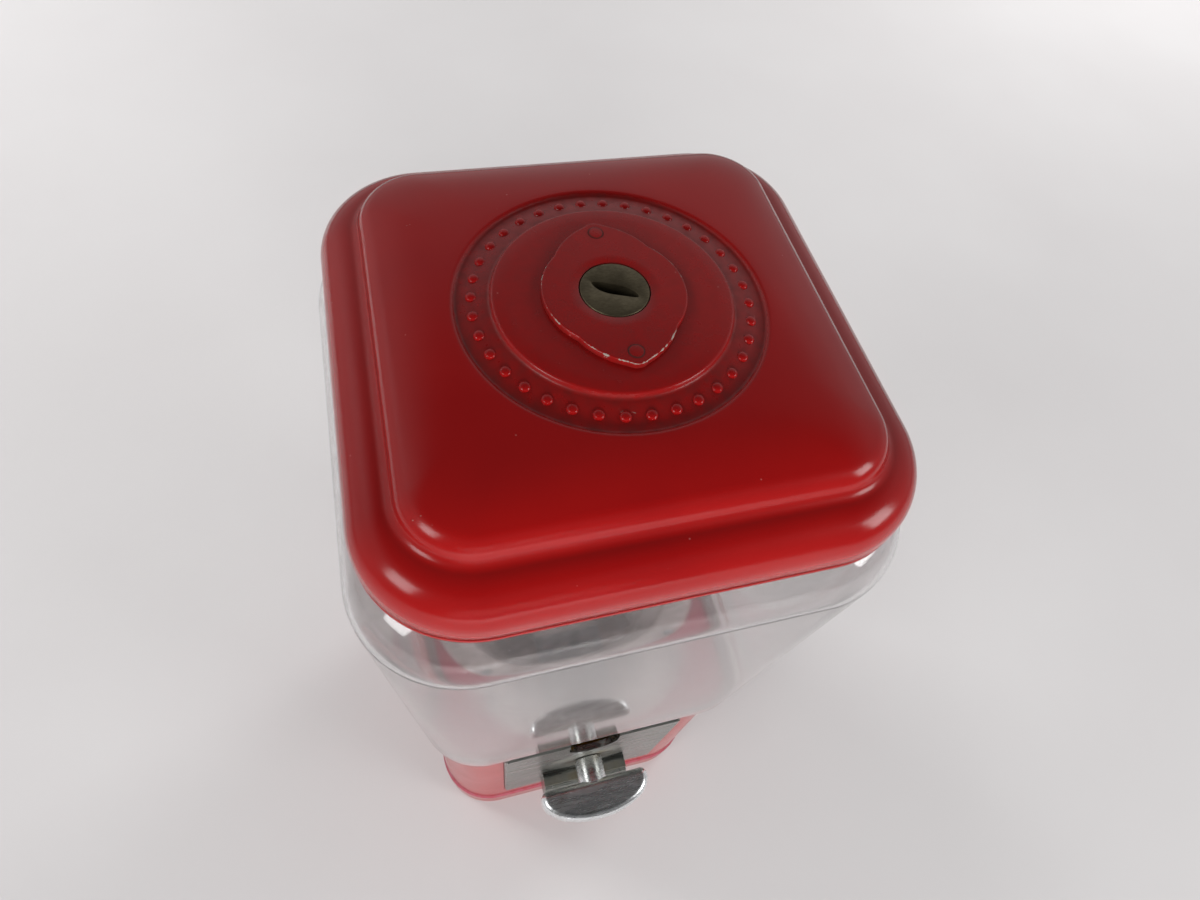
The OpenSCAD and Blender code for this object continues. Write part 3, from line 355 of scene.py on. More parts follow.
# %% [markdown]
# ## Making a mesh from rings
# Most pieces here are rings of points one after another, as a potter or a lathe would make them. One
# function joins such rings with faces. It closes the loop, or puts a cap on the first and last ring.
# Edges sharper than a limit stay crisp, everything else is shaded smooth.

# %% Mesh helpers
def finish_mesh(name, mesh, material, crisp=38):
    """Object with a smooth-shaded mesh and one material. Edges above the crisp angle are sharp."""
    mesh.materials.clear()
    mesh.materials.append(material)
    if crisp:
        mesh.polygons.foreach_set("use_smooth", [True] * len(mesh.polygons))
        mesh.set_sharp_from_angle(angle=math.radians(crisp))
    mesh.update()
    piece = bpy.data.objects.new(name, mesh)
    bpy.context.scene.collection.objects.link(piece)
    return piece


def outward(mesh):
    """Turns all faces of a closed mesh outwards."""
    volume = 0.0
    for face in mesh.polygons:
        corners = [mesh.vertices[v].co for v in face.vertices]
        for p, q in zip(corners[1:], corners[2:]):
            volume += corners[0].dot(p.cross(q))
    if volume < 0:
        mesh.flip_normals()
    return mesh


def from_rings(name, rings, material, loop=False, marks=None, crisp=38):
    """Closed piece from rings of points in millimetres. marks gives one value per ring for an attribute."""
    count = len(rings[0])
    points = np.concatenate(rings) * MM
    last = len(rings) if loop else len(rings) - 1
    faces = []
    for i in range(last):
        a, b = i * count, (i + 1) % len(rings) * count
        for j in range(count):
            k = (j + 1) % count
            faces.append((a + j, a + k, b + k, b + j))
    if not loop:
        faces.append(tuple(range(count))[::-1])
        faces.append(tuple(range((len(rings) - 1) * count, len(rings) * count)))
    mesh = bpy.data.meshes.new(name)
    mesh.from_pydata(points.tolist(), [], faces)
    for label, values in (marks or {}).items():
        store = mesh.attributes.new(label, "FLOAT", "POINT")
        store.data.foreach_set("value", np.repeat(np.array(values, np.float32), count))
    mesh.validate()
    return finish_mesh(name, outward(mesh), material, crisp)


# %% [markdown]
# Sections are drawn from arcs, and many rings are plain circles. When a piece is made, one call sets it down:
# it says which body the piece rides on and which solids it stands for.

# %% Arcs, circles and setting down
def arc(cx, cz, r, start, end, steps):
    """Points of an arc in a section, angles in degrees."""
    turns = np.radians(np.linspace(start, end, steps + 1))
    return [(cx + r * math.cos(t), cz + r * math.sin(t)) for t in turns]


def full_turn(steps):
    """Angles of a full turn in equal steps."""
    return np.linspace(0, math.tau, steps, endpoint=False)


def circle(reach, height, turns):
    """Level ring of points. Reach is one radius, or one for each turn."""
    return np.column_stack((reach * np.cos(turns), reach * np.sin(turns), np.full(len(turns), height)))


def set_down(piece, body, slot, *nodes):
    """The piece rides on a body and stands for the named nodes, which it hides. The slot is not used."""
    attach(piece, body)
    if nodes:
        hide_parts(*nodes)
    print(piece.name, "on", body, "with", len(piece.data.polygons), "faces")


# %% [markdown]
# ## The lid
# The lid is one casting: a lip with a seam, a fat rounded bead, a hollow curve, a raised step with a round
# edge and a top like a flat pillow with a shallow ring channel. Its section is written in rows. Each row has
# a reach, a height above the lip's lower edge, the grime and painted shade, and the wear of the paint there.

# %% Lid sizes
LID_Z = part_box("lid")[0].z / MM
LID_CORNER = 50
LIP, BEAD_R, EDGE_R, HOLLOW_R = 35, 12.5, 8, 4
LIP_H, STEP, STEP_H = 7.2, 21, 28
RING_OUT, RING_IN, DISC_H = 47.3, 36.4, 33
PILLOW_H, RIM_SLOPE = 30.6, 0.35
BORE = 10.6
# Flat middle, ring channel and its rounded edges: reach from the middle. On the flat middle the grime value
# is painted shade that darkens the lid's centre, in the channel it is dirt
MIDDLE_ROWS = (
    (BORE, DISC_H, 0.4, 0), (BORE + 6, DISC_H, 0.4, 0), (RING_IN - 5, DISC_H, 0.35, 0),
    (RING_IN - 1, DISC_H, 0.35, 0.1), (RING_IN - 0.5, DISC_H - 0.1, 0.35, 0.25),
    (RING_IN - 0.1, DISC_H - 0.5, 0.4, 0.2), (RING_IN + 0.1, DISC_H - 1.2, 0.6, 0),
    (RING_IN + 0.5, DISC_H - 1.7, 1, 0), (RING_IN + 1.2, DISC_H - 1.9, 0.8, 0),
    (RING_IN + 4, 30.75, 0.6, 0), (RING_OUT - 4, 29.9, 0.6, 0), (RING_OUT - 1.4, 29.5, 0.8, 0),
    (RING_OUT - 0.7, 29.55, 1, 0), (RING_OUT - 0.25, 29.9, 0.7, 0), (RING_OUT + 0.1, 30.35, 0.4, 0.2),
    (RING_OUT + 0.6, 30.57, 0.2, 0.15))
# Lip and its seam: reach from the corners' centres
LIP_ROWS = (
    (LIP, 5, 0, 0), (LIP, 3.2, 0, 0.1), (LIP - 0.15, 2.9, 0.6, 0.2), (LIP - 0.6, 2.75, 1.5, 0),
    (LIP - 0.6, 2.1, 1.5, 0), (LIP - 0.15, 1.95, 0.6, 0.2), (LIP, 1.7, 0, 0.3), (LIP, 0.5, 0, 0.5),
    (LIP - 0.15, 0.15, 0, 0.7), (LIP - 0.5, 0, 0, 0.6))
# Inside: skirt, ledge for the globe's neck, wall and ceiling
INSIDE_ROWS = (
    (LIP - 2.4, 0, 0.3, 0), (LIP - 2.7, 0.3, 0.3, 0), (LIP - 2.7, 7.2, 0.4, 0), (31.5, 11, 0.4, 0),
    (18.3, 11, 0.4, 0), (18.3, 23, 0.4, 0), (15.3, 25.5, 0.4, 0), (1, 26.95, 0.4, 0))
# Boss around the lock: reach from the middle
BOSS_ROWS = ((17, 27, 0.4, 0), (15.5, 25.5, 0.4, 0), (15.5, 18.9, 0.4, 0), (15.1, 18.5, 0.4, 0),
             (BORE, 18.5, 0.4, 0))
print("lid rows:", len(MIDDLE_ROWS), len(LIP_ROWS), len(INSIDE_ROWS), len(BOSS_ROWS))

# %% [markdown]
# The outside keeps one section all the way round a square with round corners, so each ring of points is
# the same walk round that square, pushed out by the section. The step's edge and the bead are two circles,
# and the hollow between them is a third that touches both.

# %% Lid walk and section
def square_walk(corner, side_steps, corner_steps):
    """Walk round a rounded square: places of its corner centres' square and outward directions."""
    places, normals = [], []
    for k in range(4):
        turn = math.radians(90 * k)
        along = np.array((-math.sin(turn), math.cos(turn)))
        out = np.array((math.cos(turn), math.sin(turn)))
        for s in range(side_steps):
            places.append(out * corner + along * corner * (2 * s / side_steps - 1))
            normals.append(out)
        for s in range(corner_steps):
            bend = turn + math.radians(90) * s / corner_steps
            places.append((out + along) * corner)
            normals.append(np.array((math.cos(bend), math.sin(bend))))
    return np.array(places), np.array(normals)


def edge_and_bead(rim_turn):
    """Rows from the rim of the pillow over the step's edge, through the hollow and down the bead."""
    edge_x, edge_z, bead_x = STEP - EDGE_R, STEP_H - EDGE_R, LIP - BEAD_R
    reach_x, reach_z = bead_x - edge_x, LIP_H - edge_z
    apart = math.hypot(reach_x, reach_z)
    along = ((EDGE_R + HOLLOW_R) ** 2 - (BEAD_R + HOLLOW_R) ** 2 + apart ** 2) / (2 * apart)
    across = math.sqrt((EDGE_R + HOLLOW_R) ** 2 - along ** 2)
    hollow_x = edge_x + (along * reach_x - across * reach_z) / apart
    hollow_z = edge_z + (along * reach_z + across * reach_x) / apart
    leave = math.degrees(math.atan2(hollow_z - edge_z, hollow_x - edge_x))
    touch = math.degrees(math.atan2(LIP_H - hollow_z, bead_x - hollow_x)) + 360
    rows = [(x, z, 0, 0.05) for x, z in arc(edge_x, edge_z, EDGE_R, rim_turn, leave, 9)[1:]]
    rows += [(x, z, 0.15, 0) for x, z in arc(hollow_x, hollow_z, HOLLOW_R, leave + 180, touch, 9)[1:]]
    rows += [(x, z, 0, 0) for x, z in arc(bead_x, LIP_H, BEAD_R, touch - 180, 0, 18)[1:]]
    return rows


# %% [markdown]
# Inside the ring channel the rings are plain circles. Between channel and step lies the pillow: level at
# the channel's edge and falling ever more steeply, to the same slope all round the step.

# %% Lid
def make_lid():
    places, normals = square_walk(LID_CORNER, 16, 22)
    rim_turn = 90 - math.degrees(math.atan(RIM_SLOPE))
    rim_x = STEP - EDGE_R + EDGE_R * math.cos(math.radians(rim_turn))
    rim_h = STEP_H - EDGE_R + EDGE_R * math.sin(math.radians(rim_turn))
    outline = places + rim_x * normals
    bearing = np.arctan2(outline[:, 1], outline[:, 0])
    spokes = np.stack((np.cos(bearing), np.sin(bearing)), 1)
    rings, grime_and_shade, wear = [], [], []

    def lid_ring(flat, height, dark_share=0.0, knock=0.0):
        rings.append(np.column_stack((flat, LID_Z + np.broadcast_to(height, len(flat)))))
        grime_and_shade.append(dark_share)
        wear.append(knock)

    for r, h, dark_share, knock in MIDDLE_ROWS:
        lid_ring(spokes * r, h, dark_share, knock)
    start = spokes * (RING_OUT + 1.2)
    span = np.linalg.norm(outline - start, axis=1)
    drop = PILLOW_H - rim_h
    power = RIM_SLOPE * span / drop
    for t in 1 - np.linspace(1, 0, 15) ** 1.5:
        lid_ring(start + t * (outline - start), PILLOW_H - drop * t ** power)
    for x, z, dark_share, knock in (*edge_and_bead(rim_turn), *LIP_ROWS, *INSIDE_ROWS):
        lid_ring(places + x * normals, z, dark_share, knock)
    for r, h, dark_share, knock in BOSS_ROWS:
        lid_ring(spokes * r, h, dark_share, knock)
    return from_rings("lid_casting", rings, RED, loop=True, marks={"grime_and_shade": grime_and_shade, "wear": wear}, crisp=50)


lid = make_lid()
set_down(lid, "lid", "red_paint", "lid")

# %% [markdown]
# ## Copies on a ring
# Pips, rivets and screws all sit on a circle. One Geometry Nodes tree does them all: the modifier's own
# mesh is one pip or screw, and the tree puts copies of it on a ring of points, makes them real and gives
# them their material. The result is turned into a plain mesh, because instances would be lost on export.

# %% Ring of copies
def group_tree(name, *sockets):
    """Geometry node tree with a geometry in and out and the named inputs."""
    tree = bpy.data.node_groups.new(name, "GeometryNodeTree")
    tree.interface.new_socket("Geometry", in_out="OUTPUT", socket_type="NodeSocketGeometry")
    tree.interface.new_socket("Geometry", in_out="INPUT", socket_type="NodeSocketGeometry")
    for label, kind in sockets:
        tree.interface.new_socket(label, in_out="INPUT", socket_type=kind)
    return tree, add(tree, "NodeGroupInput").outputs, add(tree, "NodeGroupOutput").inputs


def hand_out(tree, given, result, geometry):
    """Ends a tree: makes the geometry real, paints it and passes it out."""
    real = add(tree, "GeometryNodeRealizeInstances", {"Geometry": geometry.outputs[0]})
    painted = add(tree, "GeometryNodeSetMaterial", {"Geometry": real.outputs[0], "Material": given["Finish"]})
    tree.links.new(painted.outputs[0], result["Geometry"])
    return tree


def ring_tree():
    tree, given, result = group_tree(
        "ring_of_copies", ("Count", "NodeSocketInt"), ("Radius", "NodeSocketFloat"),
        ("Height", "NodeSocketFloat"), ("First turn", "NodeSocketFloat"), ("Finish", "NodeSocketMaterial"))
    index = add(tree, "GeometryNodeInputIndex").outputs[0]
    step = maths(tree, "DIVIDE", math.tau, given["Count"])
    turn = maths(tree, "MULTIPLY_ADD", index, step, given["First turn"])
    facing = add(tree, "ShaderNodeCombineXYZ", {"Z": turn}).outputs[0]
    spoke = add(tree, "ShaderNodeCombineXYZ", {"X": given["Radius"], "Z": given["Height"]}).outputs[0]
    place = add(tree, "ShaderNodeVectorRotate", {"Vector": spoke, "Angle": turn})
    ring = add(tree, "GeometryNodePoints", {"Count": given["Count"], "Position": place.outputs[0]})
    copies = add(tree, "GeometryNodeInstanceOnPoints", {
        "Points": ring.outputs[0], "Instance": given["Geometry"], "Rotation": facing})
    return hand_out(tree, given, result, copies)


RING = ring_tree()
print(RING.name, "has", len(RING.nodes), "nodes")

# %% [markdown]
# A turned piece is a section walked round in a circle, and the tree makes a ring of it. Raised pips stand
# in the lid's channel, where the casting carried raised marks.

# %% Lid pips
def grown(piece, tree, **values):
    """Runs a tree on the piece and keeps the result as its plain mesh."""
    modifier = piece.modifiers.new(tree.name, "NODES")
    modifier.node_group = tree
    sockets = {s.name: s.identifier for s in tree.interface.items_tree if s.in_out == "INPUT"}
    for label, value in values.items():
        modifier[sockets[label.replace("_", " ")]] = value
    bpy.context.view_layer.update()
    mesh = bpy.data.meshes.new_from_object(piece.evaluated_get(bpy.context.evaluated_depsgraph_get()))
    piece.modifiers.remove(modifier)
    piece.data = mesh
    return piece


def lathe(name, section, material, steps=24, crisp=38, marks=None):
    """Turned piece about Z from (radius, height) points in millimetres."""
    rings = [circle(r, h, full_turn(steps)) for r, h in section]
    return from_rings(name, rings, material, marks=marks, crisp=crisp)


PIP_COUNT, PIP_RING, PIP_FOOT_H = 36, 41.85, 30.3
PIP_SECTION = ((1.75, -0.4), (1.75, 0), (1.55, 0.45), (1.2, 0.7), (0.6, 0.8))
pip = lathe("lid_pips", PIP_SECTION, RED, steps=16, crisp=60)
pips = grown(pip, RING, Count=PIP_COUNT, Radius=PIP_RING * MM, Height=(LID_Z + PIP_FOOT_H) * MM,
             First_turn=0.0, Finish=RED)
set_down(pips, "lid", "red_paint")

# %% [markdown]
# ## Lock plate, rivets and lock
# An oval flange holds the lock: a round middle with two ears, a rivet in each. Its outline follows a tight
# string around three circles. Only the arcs where the string touches are worked out, and between them
# the reach goes evenly from one to the next, which bows the sides a little.

# %% Lock plate
PLATE_Z = LID_Z + DISC_H + 0.05
PLATE_T = 1.95
EAR_AT, EAR_R, PLATE_R = 23.5, 4.5, 21.75
BORE_EDGE = BORE + 0.12
FLANGE_STEPS, FLANGE_ARC_STEPS = 240, 40
# Inset from the outline, height, wear, grime and painted shade; on the flange's top the darkening is painted
# shade
FLANGE_ROWS = ((0.0, 0.0, 0.1, 1), (0.0, PLATE_T - 0.5, 0.4, 0.6), (0.15, PLATE_T - 0.15, 0.75, 0.4),
               (0.4, PLATE_T, 0.45, 0.4), (0.7, PLATE_T, 0.1, 0.4))
# Radius, height, wear, grime and painted shade
BORE_ROWS = ((14, PLATE_T, 0, 0.4), (BORE + 0.6, PLATE_T, 0, 0.6), (BORE_EDGE, PLATE_T - 0.2, 0.2, 0.9),
             (BORE_EDGE, 0, 0, 1))


def flange_reach(turns, inset):
    """Distance from the middle to the flange's outline, drawn in by inset, in each direction."""
    middle, ear = PLATE_R - inset, EAR_R - inset
    lean = math.asin((PLATE_R - EAR_R) / EAR_AT)
    outline = []
    for k in range(-FLANGE_ARC_STEPS, FLANGE_ARC_STEPS + 1):
        t = lean * k / FLANGE_ARC_STEPS
        outline.append((middle * math.cos(t), middle * math.sin(t)))
    for k in range(FLANGE_ARC_STEPS + 1):
        t = lean + (math.pi - 2 * lean) * k / FLANGE_ARC_STEPS
        outline.append((ear * math.cos(t), EAR_AT + ear * math.sin(t)))
    outline += [(-x, -y) for x, y in outline]
    points = np.array(outline)
    bearing = np.unwrap(np.arctan2(points[:, 1], points[:, 0]))
    order = np.argsort(bearing)
    reach = np.hypot(points[:, 0], points[:, 1])
    wrapped = np.concatenate((bearing[order] - math.tau, bearing[order], bearing[order] + math.tau))
    return np.interp(turns, wrapped, np.tile(reach[order], 3))


def make_lock_plate():
    turns = full_turn(FLANGE_STEPS)
    rings = [circle(flange_reach(turns, row[0]), PLATE_Z + row[1], turns) for row in FLANGE_ROWS]
    rings += [circle(row[0], PLATE_Z + row[1], turns) for row in BORE_ROWS]
    rows = FLANGE_ROWS + BORE_ROWS
    marks = {"wear": [row[2] for row in rows], "grime_and_shade": [row[3] for row in rows]}
    return from_rings("lock_flange", rings, RED, loop=True, marks=marks)


lock_plate = make_lock_plate()
set_down(lock_plate, "lid", "red_paint", "lock_plate")

# %% [markdown]
# Each ear holds a low rivet head, sprayed over with the same enamel. Dirt sits in the crease round it.

# %% Lock rivets
RIVET_SECTION = ((2.5, -0.1), (2.5, 0.05), (2.2, 0.22), (1.9, 0.26), (0.8, 0.3))
RIVET_GRIME = (3, 3, 1.6, 0.5, 0.4)
rivet = lathe("lock_rivet_heads", RIVET_SECTION, RED, crisp=60, marks={"grime_and_shade": RIVET_GRIME})
rivets = grown(rivet, RING, Count=2, Radius=EAR_AT * MM, Height=(PLATE_Z + PLATE_T) * MM,
               First_turn=math.pi / 2, Finish=RED)
set_down(rivets, "lid", "steel", "lock_rivets")

# %% [markdown]
# The lock's face is a flat disc with a wavy key slot, which is a long rounded outline bent along a sine.
# The rim's rings start in the slot's own direction, so that rim and slot join without a twist.

# %% Lock face
FACE_STEPS = 160
SLOT_TURN = math.radians(-35)
SLOT_HALF_LONG, SLOT_HALF_WIDE, SLOT_WAVE = 7.25, 2.0, 0.7
# Radius or growth of the slot, and depth below the face
RIM_ROWS = ((10.45, 0.35), (10.3, 0.1), (10.05, 0))
SLOT_ROWS = ((0.35, 0), (0.1, 0.12), (0, 0.4), (0, 7.5))


def make_lock_face():
    low, face = (v.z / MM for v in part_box("lock_cylinder"))
    turns = full_turn(FACE_STEPS)

    def slot_ring(grow, height):
        x = (SLOT_HALF_LONG + grow) * np.cos(turns)
        y = np.sign(np.sin(turns)) * (SLOT_HALF_WIDE + grow) * np.abs(np.sin(turns)) ** 1.3
        y = y + SLOT_WAVE * np.sin(x / SLOT_HALF_LONG * 2.4)
        return np.column_stack((x * math.cos(SLOT_TURN) - y * math.sin(SLOT_TURN),
                                x * math.sin(SLOT_TURN) + y * math.cos(SLOT_TURN),
                                np.full(FACE_STEPS, height)))

    rings = [circle(RIM_ROWS[0][0], low, turns + SLOT_TURN)]
    rings += [circle(radius, face - depth, turns + SLOT_TURN) for radius, depth in RIM_ROWS]
    rings += [slot_ring(grow, face - depth) for grow, depth in SLOT_ROWS]
    return from_rings("lock_face", rings, BRONZE, crisp=40)


lock_face = make_lock_face()
set_down(lock_face, "lock", "lock_bronze", "lock_cylinder")

# %% [markdown]
# ## Sweeping a section round a square
# The globe has one section all the way round. A second Geometry Nodes tree walks that section round a
# square with round corners: the modifier's mesh is the section as a chain of edges, the tree draws the
# square, rounds its corners and pulls the section along it.

# %% Sweep tree
PATH_R = 1.0


def sweep_tree():
    tree, given, result = group_tree(
        "section_round_a_square", ("Corner centre", "NodeSocketFloat"), ("Corner radius", "NodeSocketFloat"),
        ("Corner steps", "NodeSocketInt"), ("Finish", "NodeSocketMaterial"))
    half = maths(tree, "ADD", given["Corner centre"], given["Corner radius"])
    side = maths(tree, "MULTIPLY", half, 2.0)
    square = add(tree, "GeometryNodeCurvePrimitiveQuadrilateral", {"Width": side, "Height": side})
    path = add(tree, "GeometryNodeFilletCurve", {
        "Curve": square.outputs[0], "Count": given["Corner steps"], "Radius": given["Corner radius"]},
        mode="POLY")
    upright = add(tree, "GeometryNodeSetCurveNormal", {"Curve": path.outputs[0]}, mode="Z_UP")
    section = add(tree, "GeometryNodeMeshToCurve", {"Mesh": given["Geometry"]})
    skin = add(tree, "GeometryNodeCurveToMesh", {
        "Curve": upright.outputs[0], "Profile Curve": section.outputs[0]})
    return hand_out(tree, given, result, skin)


def swept(name, section, corner, steps, material, crisp=38):
    """Piece with a closed section of (distance from the corner centres, height) points, round a square."""
    mesh = bpy.data.meshes.new(name)
    points = [((x - PATH_R) * MM, -z * MM, 0) for x, z in section]
    mesh.from_pydata(points, [(i, (i + 1) % len(points)) for i in range(len(points))], [])
    piece = bpy.data.objects.new(name + "_section", mesh)
    bpy.context.scene.collection.objects.link(piece)
    grown(piece, SWEEP, Corner_centre=corner * MM, Corner_radius=PATH_R * MM, Corner_steps=steps,
          Finish=material)
    swept_mesh = outward(piece.data)
    bpy.data.objects.remove(piece)
    return finish_mesh(name, swept_mesh, material, crisp)


SWEEP = sweep_tree()
print(SWEEP.name, "has", len(SWEEP.nodes), "nodes")

# %% [markdown]
# ## Globe
# The globe widens from its foot to a round shoulder and ends in a neck under the lid. The section is its
# outer line up, then its inner line down again, 1.5 mm apart, so the glass has a real thickness and bends
# the light twice, as the real one does. The solid keeps 3.5 mm, on its inner side.

# %% Globe
GLOBE_CORNER, GLOBE_CORNER_STEPS = 54, 26
FOOT, SHOULDER, NECK = 27, 37.2, 25.5
BEND_R, GLASS_T, ROLL_R = 20, 1.5, 5


def make_globe():
    low, high = (v.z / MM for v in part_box("globe"))
    bend_x = SHOULDER - BEND_R
    inner_neck, inner_foot = NECK - GLASS_T, FOOT - GLASS_T

    def line(i):
        """From the foot over the shoulder to the neck, drawn in by i."""
        stop = math.degrees(math.acos((NECK - i - bend_x) / (BEND_R - i)))
        shoulder = arc(bend_x, SHOULDER_Z, BEND_R - i, 0, stop, 22)
        return [(FOOT + ROLL_R - i, low + ROLL_R)] + shoulder + [(NECK - i, high - 0.8)]

    outside = arc(FOOT, low + ROLL_R, ROLL_R, -90, 0, 8)[:-1] + line(0)
    rim = [(NECK - 0.4, high - 0.2), (NECK - 0.9, high), (inner_neck + 0.9, high),
           (inner_neck + 0.4, high - 0.2)]
    inside = line(GLASS_T)[::-1]
    sole = [(inner_foot - 2, low + ROLL_R), (inner_foot - 2, low + 0.4), (inner_foot - 1.6, low)]
    section = outside + rim + inside + sole
    return swept("globe_glass", section, GLOBE_CORNER, GLOBE_CORNER_STEPS, GLASS, crisp=45)


globe = make_globe()
set_down(globe, "base", "clear_glass", "globe")

# %% [markdown]
# ## Handle
# The wing is a half moon: flat on top, with a front bowed like half an ellipse and well rounded edges, so
# that it turns easily between finger and thumb. Each ring is the outline of the half ellipse grown by a
# share of the edge's rounding.

# %% Handle
WING_EDGE_R = 4.0


def make_wing():
    low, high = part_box("handle_wing")
    half_t = (high.z - low.z) / MM / 2
    back = high.y / MM - WING_EDGE_R
    half = high.x / MM - WING_EDGE_R
    bow = (high.y - low.y) / MM - 2 * WING_EDGE_R

    def outline(grow, height):
        points = []
        for u in np.radians(np.linspace(-90, 90, 61)):
            n = math.hypot(bow * math.sin(u), half * math.cos(u))
            points.append(((half + grow * bow / n) * math.sin(u),
                           back - (bow + grow * half / n) * math.cos(u)))
        tail = np.radians(np.linspace(90, 180, 11)[1:])
        points += [(half + grow * math.sin(t), back - grow * math.cos(t)) for t in tail]
        points += [(-half - grow * math.sin(t), back - grow * math.cos(t)) for t in tail[::-1]]
        return np.column_stack((np.array(points), np.full(len(points), AXIS_Z + height)))

    rings = []
    for t in np.radians(np.linspace(-90, 90, 25)):
        lift = (half_t - WING_EDGE_R) * np.sign(t) if abs(t) > 1e-6 else 0
        rings.append(outline(WING_EDGE_R * max(math.cos(t), 0.02), lift + WING_EDGE_R * math.sin(t)))
    return from_rings("handle_half_moon", rings, RUBBED_CHROME, crisp=50)


wing = make_wing()
set_down(wing, "handle", "chrome", "handle_wing")

# %% [markdown]
# The neck is a plain turned bar with a soft edge at the plate. It lies along Y, so its circles stand upright.

# %% Neck
NECK_STEPS, NECK_BORE_R = 64, 5


def make_neck():
    low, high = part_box("handle_neck")
    front, back, radius = low.y / MM, high.y / MM, (high.x - low.x) / MM / 2
    section = [(radius - 0.8, front), (radius, front + 0.8), (radius, back - 1.2),
               (radius - 0.35, back - 0.35), (radius - 1.2, back), (NECK_BORE_R, back),
               (NECK_BORE_R, front + 4)]
    turns = full_turn(NECK_STEPS)
    rings = []
    for r, y in section:
        rings.append(np.column_stack((r * np.cos(turns), np.full(NECK_STEPS, y), AXIS_Z + r * np.sin(turns))))
    return from_rings("handle_neck_turned", rings, RUBBED_CHROME, crisp=30)


neck = make_neck()
set_down(neck, "handle", "chrome", "handle_neck")

# %% [markdown]
# ## Castings with softened edges
# The base, the coin plate and the flap have the right shape in the CAD model, but every edge there is as
# sharp as a knife. A copy of the solid is merged into one skin, its flat triangles are joined, and a narrow
# bevel is run along each edge: that thin line is what catches the light on a real casting.

# %% Softened castings
def softened(node, name, width, material, crisp=32):
    """Copy of a CAD node with narrow round edges."""
    work = bmesh.new()
    work.from_mesh(frame["nodes"][node].data)
    bmesh.ops.remove_doubles(work, verts=work.verts, dist=0.002 * MM)
    bmesh.ops.dissolve_limit(work, angle_limit=math.radians(0.5), verts=work.verts, edges=work.edges,
                             delimit={"NORMAL"})
    mesh = bpy.data.meshes.new(name)
    work.to_mesh(mesh)
    work.free()
    piece = finish_mesh(name, mesh, material, crisp)
    bevel = piece.modifiers.new("edge", "BEVEL")
    bevel.width = width * MM
    bevel.segments = 2
    bevel.limit_method = "ANGLE"
    bevel.angle_limit = math.radians(28)
    bevel.use_clamp_overlap = True
    # The large faces decide the shading, so flat sides stay flat up to the bevel
    shading = piece.modifiers.new("level", "WEIGHTED_NORMAL")
    shading.keep_sharp = True
    bpy.context.view_layer.update()
    soft = bpy.data.meshes.new_from_object(piece.evaluated_get(bpy.context.evaluated_depsgraph_get()))
    bpy.data.objects.remove(piece)
    return finish_mesh(name, soft, material, crisp=None)


# %% [markdown]
# Dust and candy powder lie on the two level faces of the base, the deck under the globe and the ledge of the
# plinth, and the pale colour there is also a painted sheen that stands in for the room's reflection. The
# base's points in those two bands of height are marked, and the paint is paler there.

# %% Base, plate and flap
PLINTH_Z = 16


def mark_powder_and_sheen(piece, *bands):
    """Marks the points of a piece in bands of height, given in millimetres."""
    points = np.empty(3 * len(piece.data.vertices), np.float32)
    piece.data.vertices.foreach_get("co", points)
    height = points[2::3] / MM
    inside = np.zeros(len(height), np.float32)
    for low, high in bands:
        inside[(height > low) & (height < high)] = 1
    piece.data.attributes.new("powder_and_sheen", "FLOAT", "POINT").data.foreach_set("value", inside)


base = softened("base_shell", "base_casting", 0.5, RED)
deck_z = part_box("base_shell")[1].z / MM
# Pale bands of dust and painted sheen on the deck and on the plinth's ledge
mark_powder_and_sheen(base, (deck_z - 0.1, deck_z + 0.1), (PLINTH_Z - 0.03, PLINTH_Z + 1.23))
set_down(base, "base", "red_paint", "base_shell")
plate = softened("front_plate", "coin_plate", 0.35, CHROME)
set_down(plate, "base", "chrome", "front_plate")
flap = softened("chute_flap", "outlet_flap", 0.4, CHROME)
set_down(flap, "flap", "chrome", "chute_flap")

# %% [markdown]
# ## Screws on the deck
# Four pan-head screws go through the flange of the hopper's funnel and hold the pan of the candy wheel
# under the deck. They sit on a ring, so they use the same tree as the pips.

# %% Deck screws
SCREW_RING = 71.2


def make_deck_screws():
    low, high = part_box("deck_screws")
    top = high.z / MM
    section = [(2, low.z / MM - top), (2, -2), (3, -2), (3, -1.1), (2.6, -0.45), (1.6, -0.1), (0.5, 0)]
    head = lathe("deck_screw_heads", section, STEEL, crisp=40)
    return grown(head, RING, Count=4, Radius=SCREW_RING * MM, Height=top * MM, First_turn=math.pi / 4,
                 Finish=STEEL)


deck_screws = make_deck_screws()
set_down(deck_screws, "base", "steel", "deck_screws")

# %% [markdown]
# ## Finishes of the other CAD pieces
# The mechanism inside keeps its CAD solids, whose shapes are right. Each only needs its real finish, which
# follows from the material slot that the record gives it.

# %% CAD finishes
SLOT_FINISH = {"red_paint": RED, "chrome": CHROME, "clear_glass": GLASS, "cast_aluminium": ALUMINIUM,
               "steel": STEEL, "brass": BRASS, "lock_bronze": BRONZE, "black_rubber": RUBBER}
for part in frame["record"]["subparts"]:
    solid = frame["nodes"][part["node"]]
    for holder in solid.material_slots:
        holder.material = SLOT_FINISH[part["material_slot"]]
    print(part["node"], "is", part["material_slot"])

# %% [markdown]
# ## Table
# The machine stands on a pale matt table, cloudy in patches of about 260 mm. It is not set on any of the
# machine's bodies.

# %% Table
TABLE_HALF = 4.0


def make_table():
    corners = [(-1, -1), (1, -1), (1, 1), (-1, 1)]
    mesh = bpy.data.meshes.new("table")
    mesh.from_pydata([(x * TABLE_HALF, y * TABLE_HALF, 0) for x, y in corners], [], [(0, 1, 2, 3)])
    material, tree, out, place = new_material("table_top_matt_laminate")
    tint = blend(tree, noise(tree, place, 260, 3.0), "#C6C3C3", "#CFCDCD")
    principled(tree, out, {"Base Color": tint, "Roughness": 0.6})
    return finish_mesh("table", mesh, material)


table = make_table()
print("made", table.name)

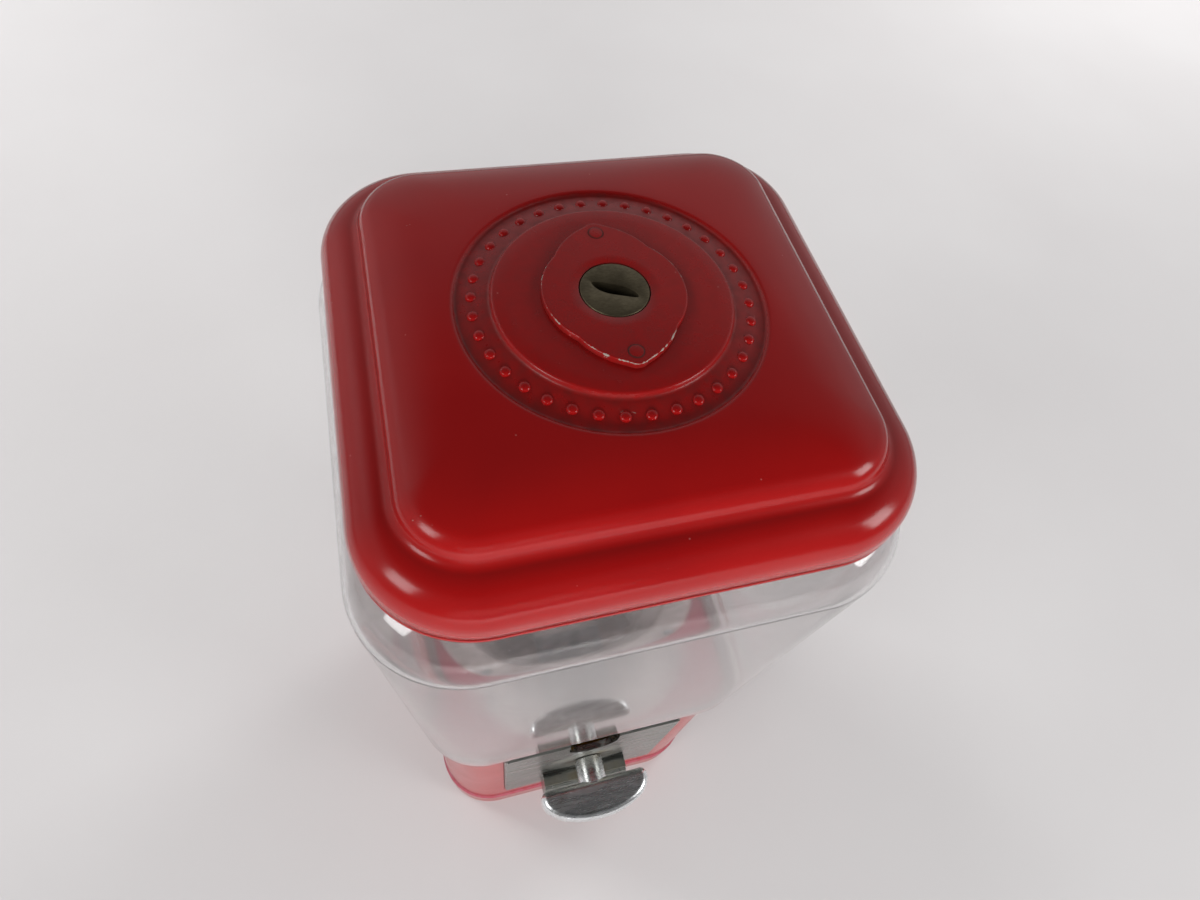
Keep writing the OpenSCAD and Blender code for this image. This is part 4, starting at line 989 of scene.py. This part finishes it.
# %% [markdown]
# ## Light
# There are two windows, which the lid's round corners mirror. A broad fill from the front makes the fronts
# brighter than the lid's top, and two lamps behind light the far table: these three are left out of mirror
# images, so they light the paint without a glint. The room is pale behind and dark overhead and in front,
# where the photographer leaned over, and the lid's front half and the wing mirror that.

# %% Light
# Name, place, aim and size in metres, watts, beam in degrees, seen in mirror images
LAMPS = (
    ("left_window", (-1.85, -0.8, 1.4), (0, 0, 0.3), (0.75, 0.85), 15.5, 180, True),
    ("right_window", (1.5, -1.05, 1.05), (0, 0, 0.3), (0.68, 0.76), 12, 180, True),
    ("front_fill", (-0.3, -2.2, 0.62), (0, 0, 0.35), (1.6, 0.6), 70, 180, False),
    ("back_left", (-1.7, 1.6, 1.3), (-0.6, 1.0, 0), (0.9, 0.7), 9, 80, False),
    ("back_right", (2.1, 1.3, 1.2), (0.9, 1.0, 0), (0.9, 0.7), 9, 80, False))


def make_lamp(name, place, aim, size, watts, beam, mirrored):
    data = bpy.data.lights.new(name, "AREA")
    data.shape = "RECTANGLE"
    data.size, data.size_y = size
    data.energy = watts
    data.spread = math.radians(beam)
    lamp = bpy.data.objects.new(name, data)
    lamp.location = place
    lamp.rotation_euler = (Vector(aim) - Vector(place)).to_track_quat("-Z", "Y").to_euler()
    lamp.visible_glossy = mirrored
    lamp.visible_transmission = mirrored
    bpy.context.scene.collection.objects.link(lamp)


def make_world():
    world = bpy.data.worlds.new("room")
    bpy.context.scene.world = world
    world.use_nodes = True
    tree = world.node_tree
    tree.nodes.clear()
    direction = add(tree, "ShaderNodeTexCoord").outputs["Generated"]
    axis = add(tree, "ShaderNodeSeparateXYZ", {"Vector": direction}).outputs
    overhead = ramp(tree, axis["Z"], 0.6, 0.8, 0.65, 0.1)
    front = ramp(tree, axis["Y"], -0.5, 0.35, 0.3, 1.0)
    strength = maths(tree, "MULTIPLY", overhead, front)
    room = add(tree, "ShaderNodeBackground", {"Color": colour("#F4F3F4"), "Strength": strength})
    out = tree.nodes.new("ShaderNodeOutputWorld")
    tree.links.new(room.outputs[0], out.inputs["Surface"])


for lamp_row in LAMPS:
    make_lamp(*lamp_row)
make_world()
bpy.context.scene.view_settings.view_transform = "Standard"
print("lamps:", [lamp_row[0] for lamp_row in LAMPS])
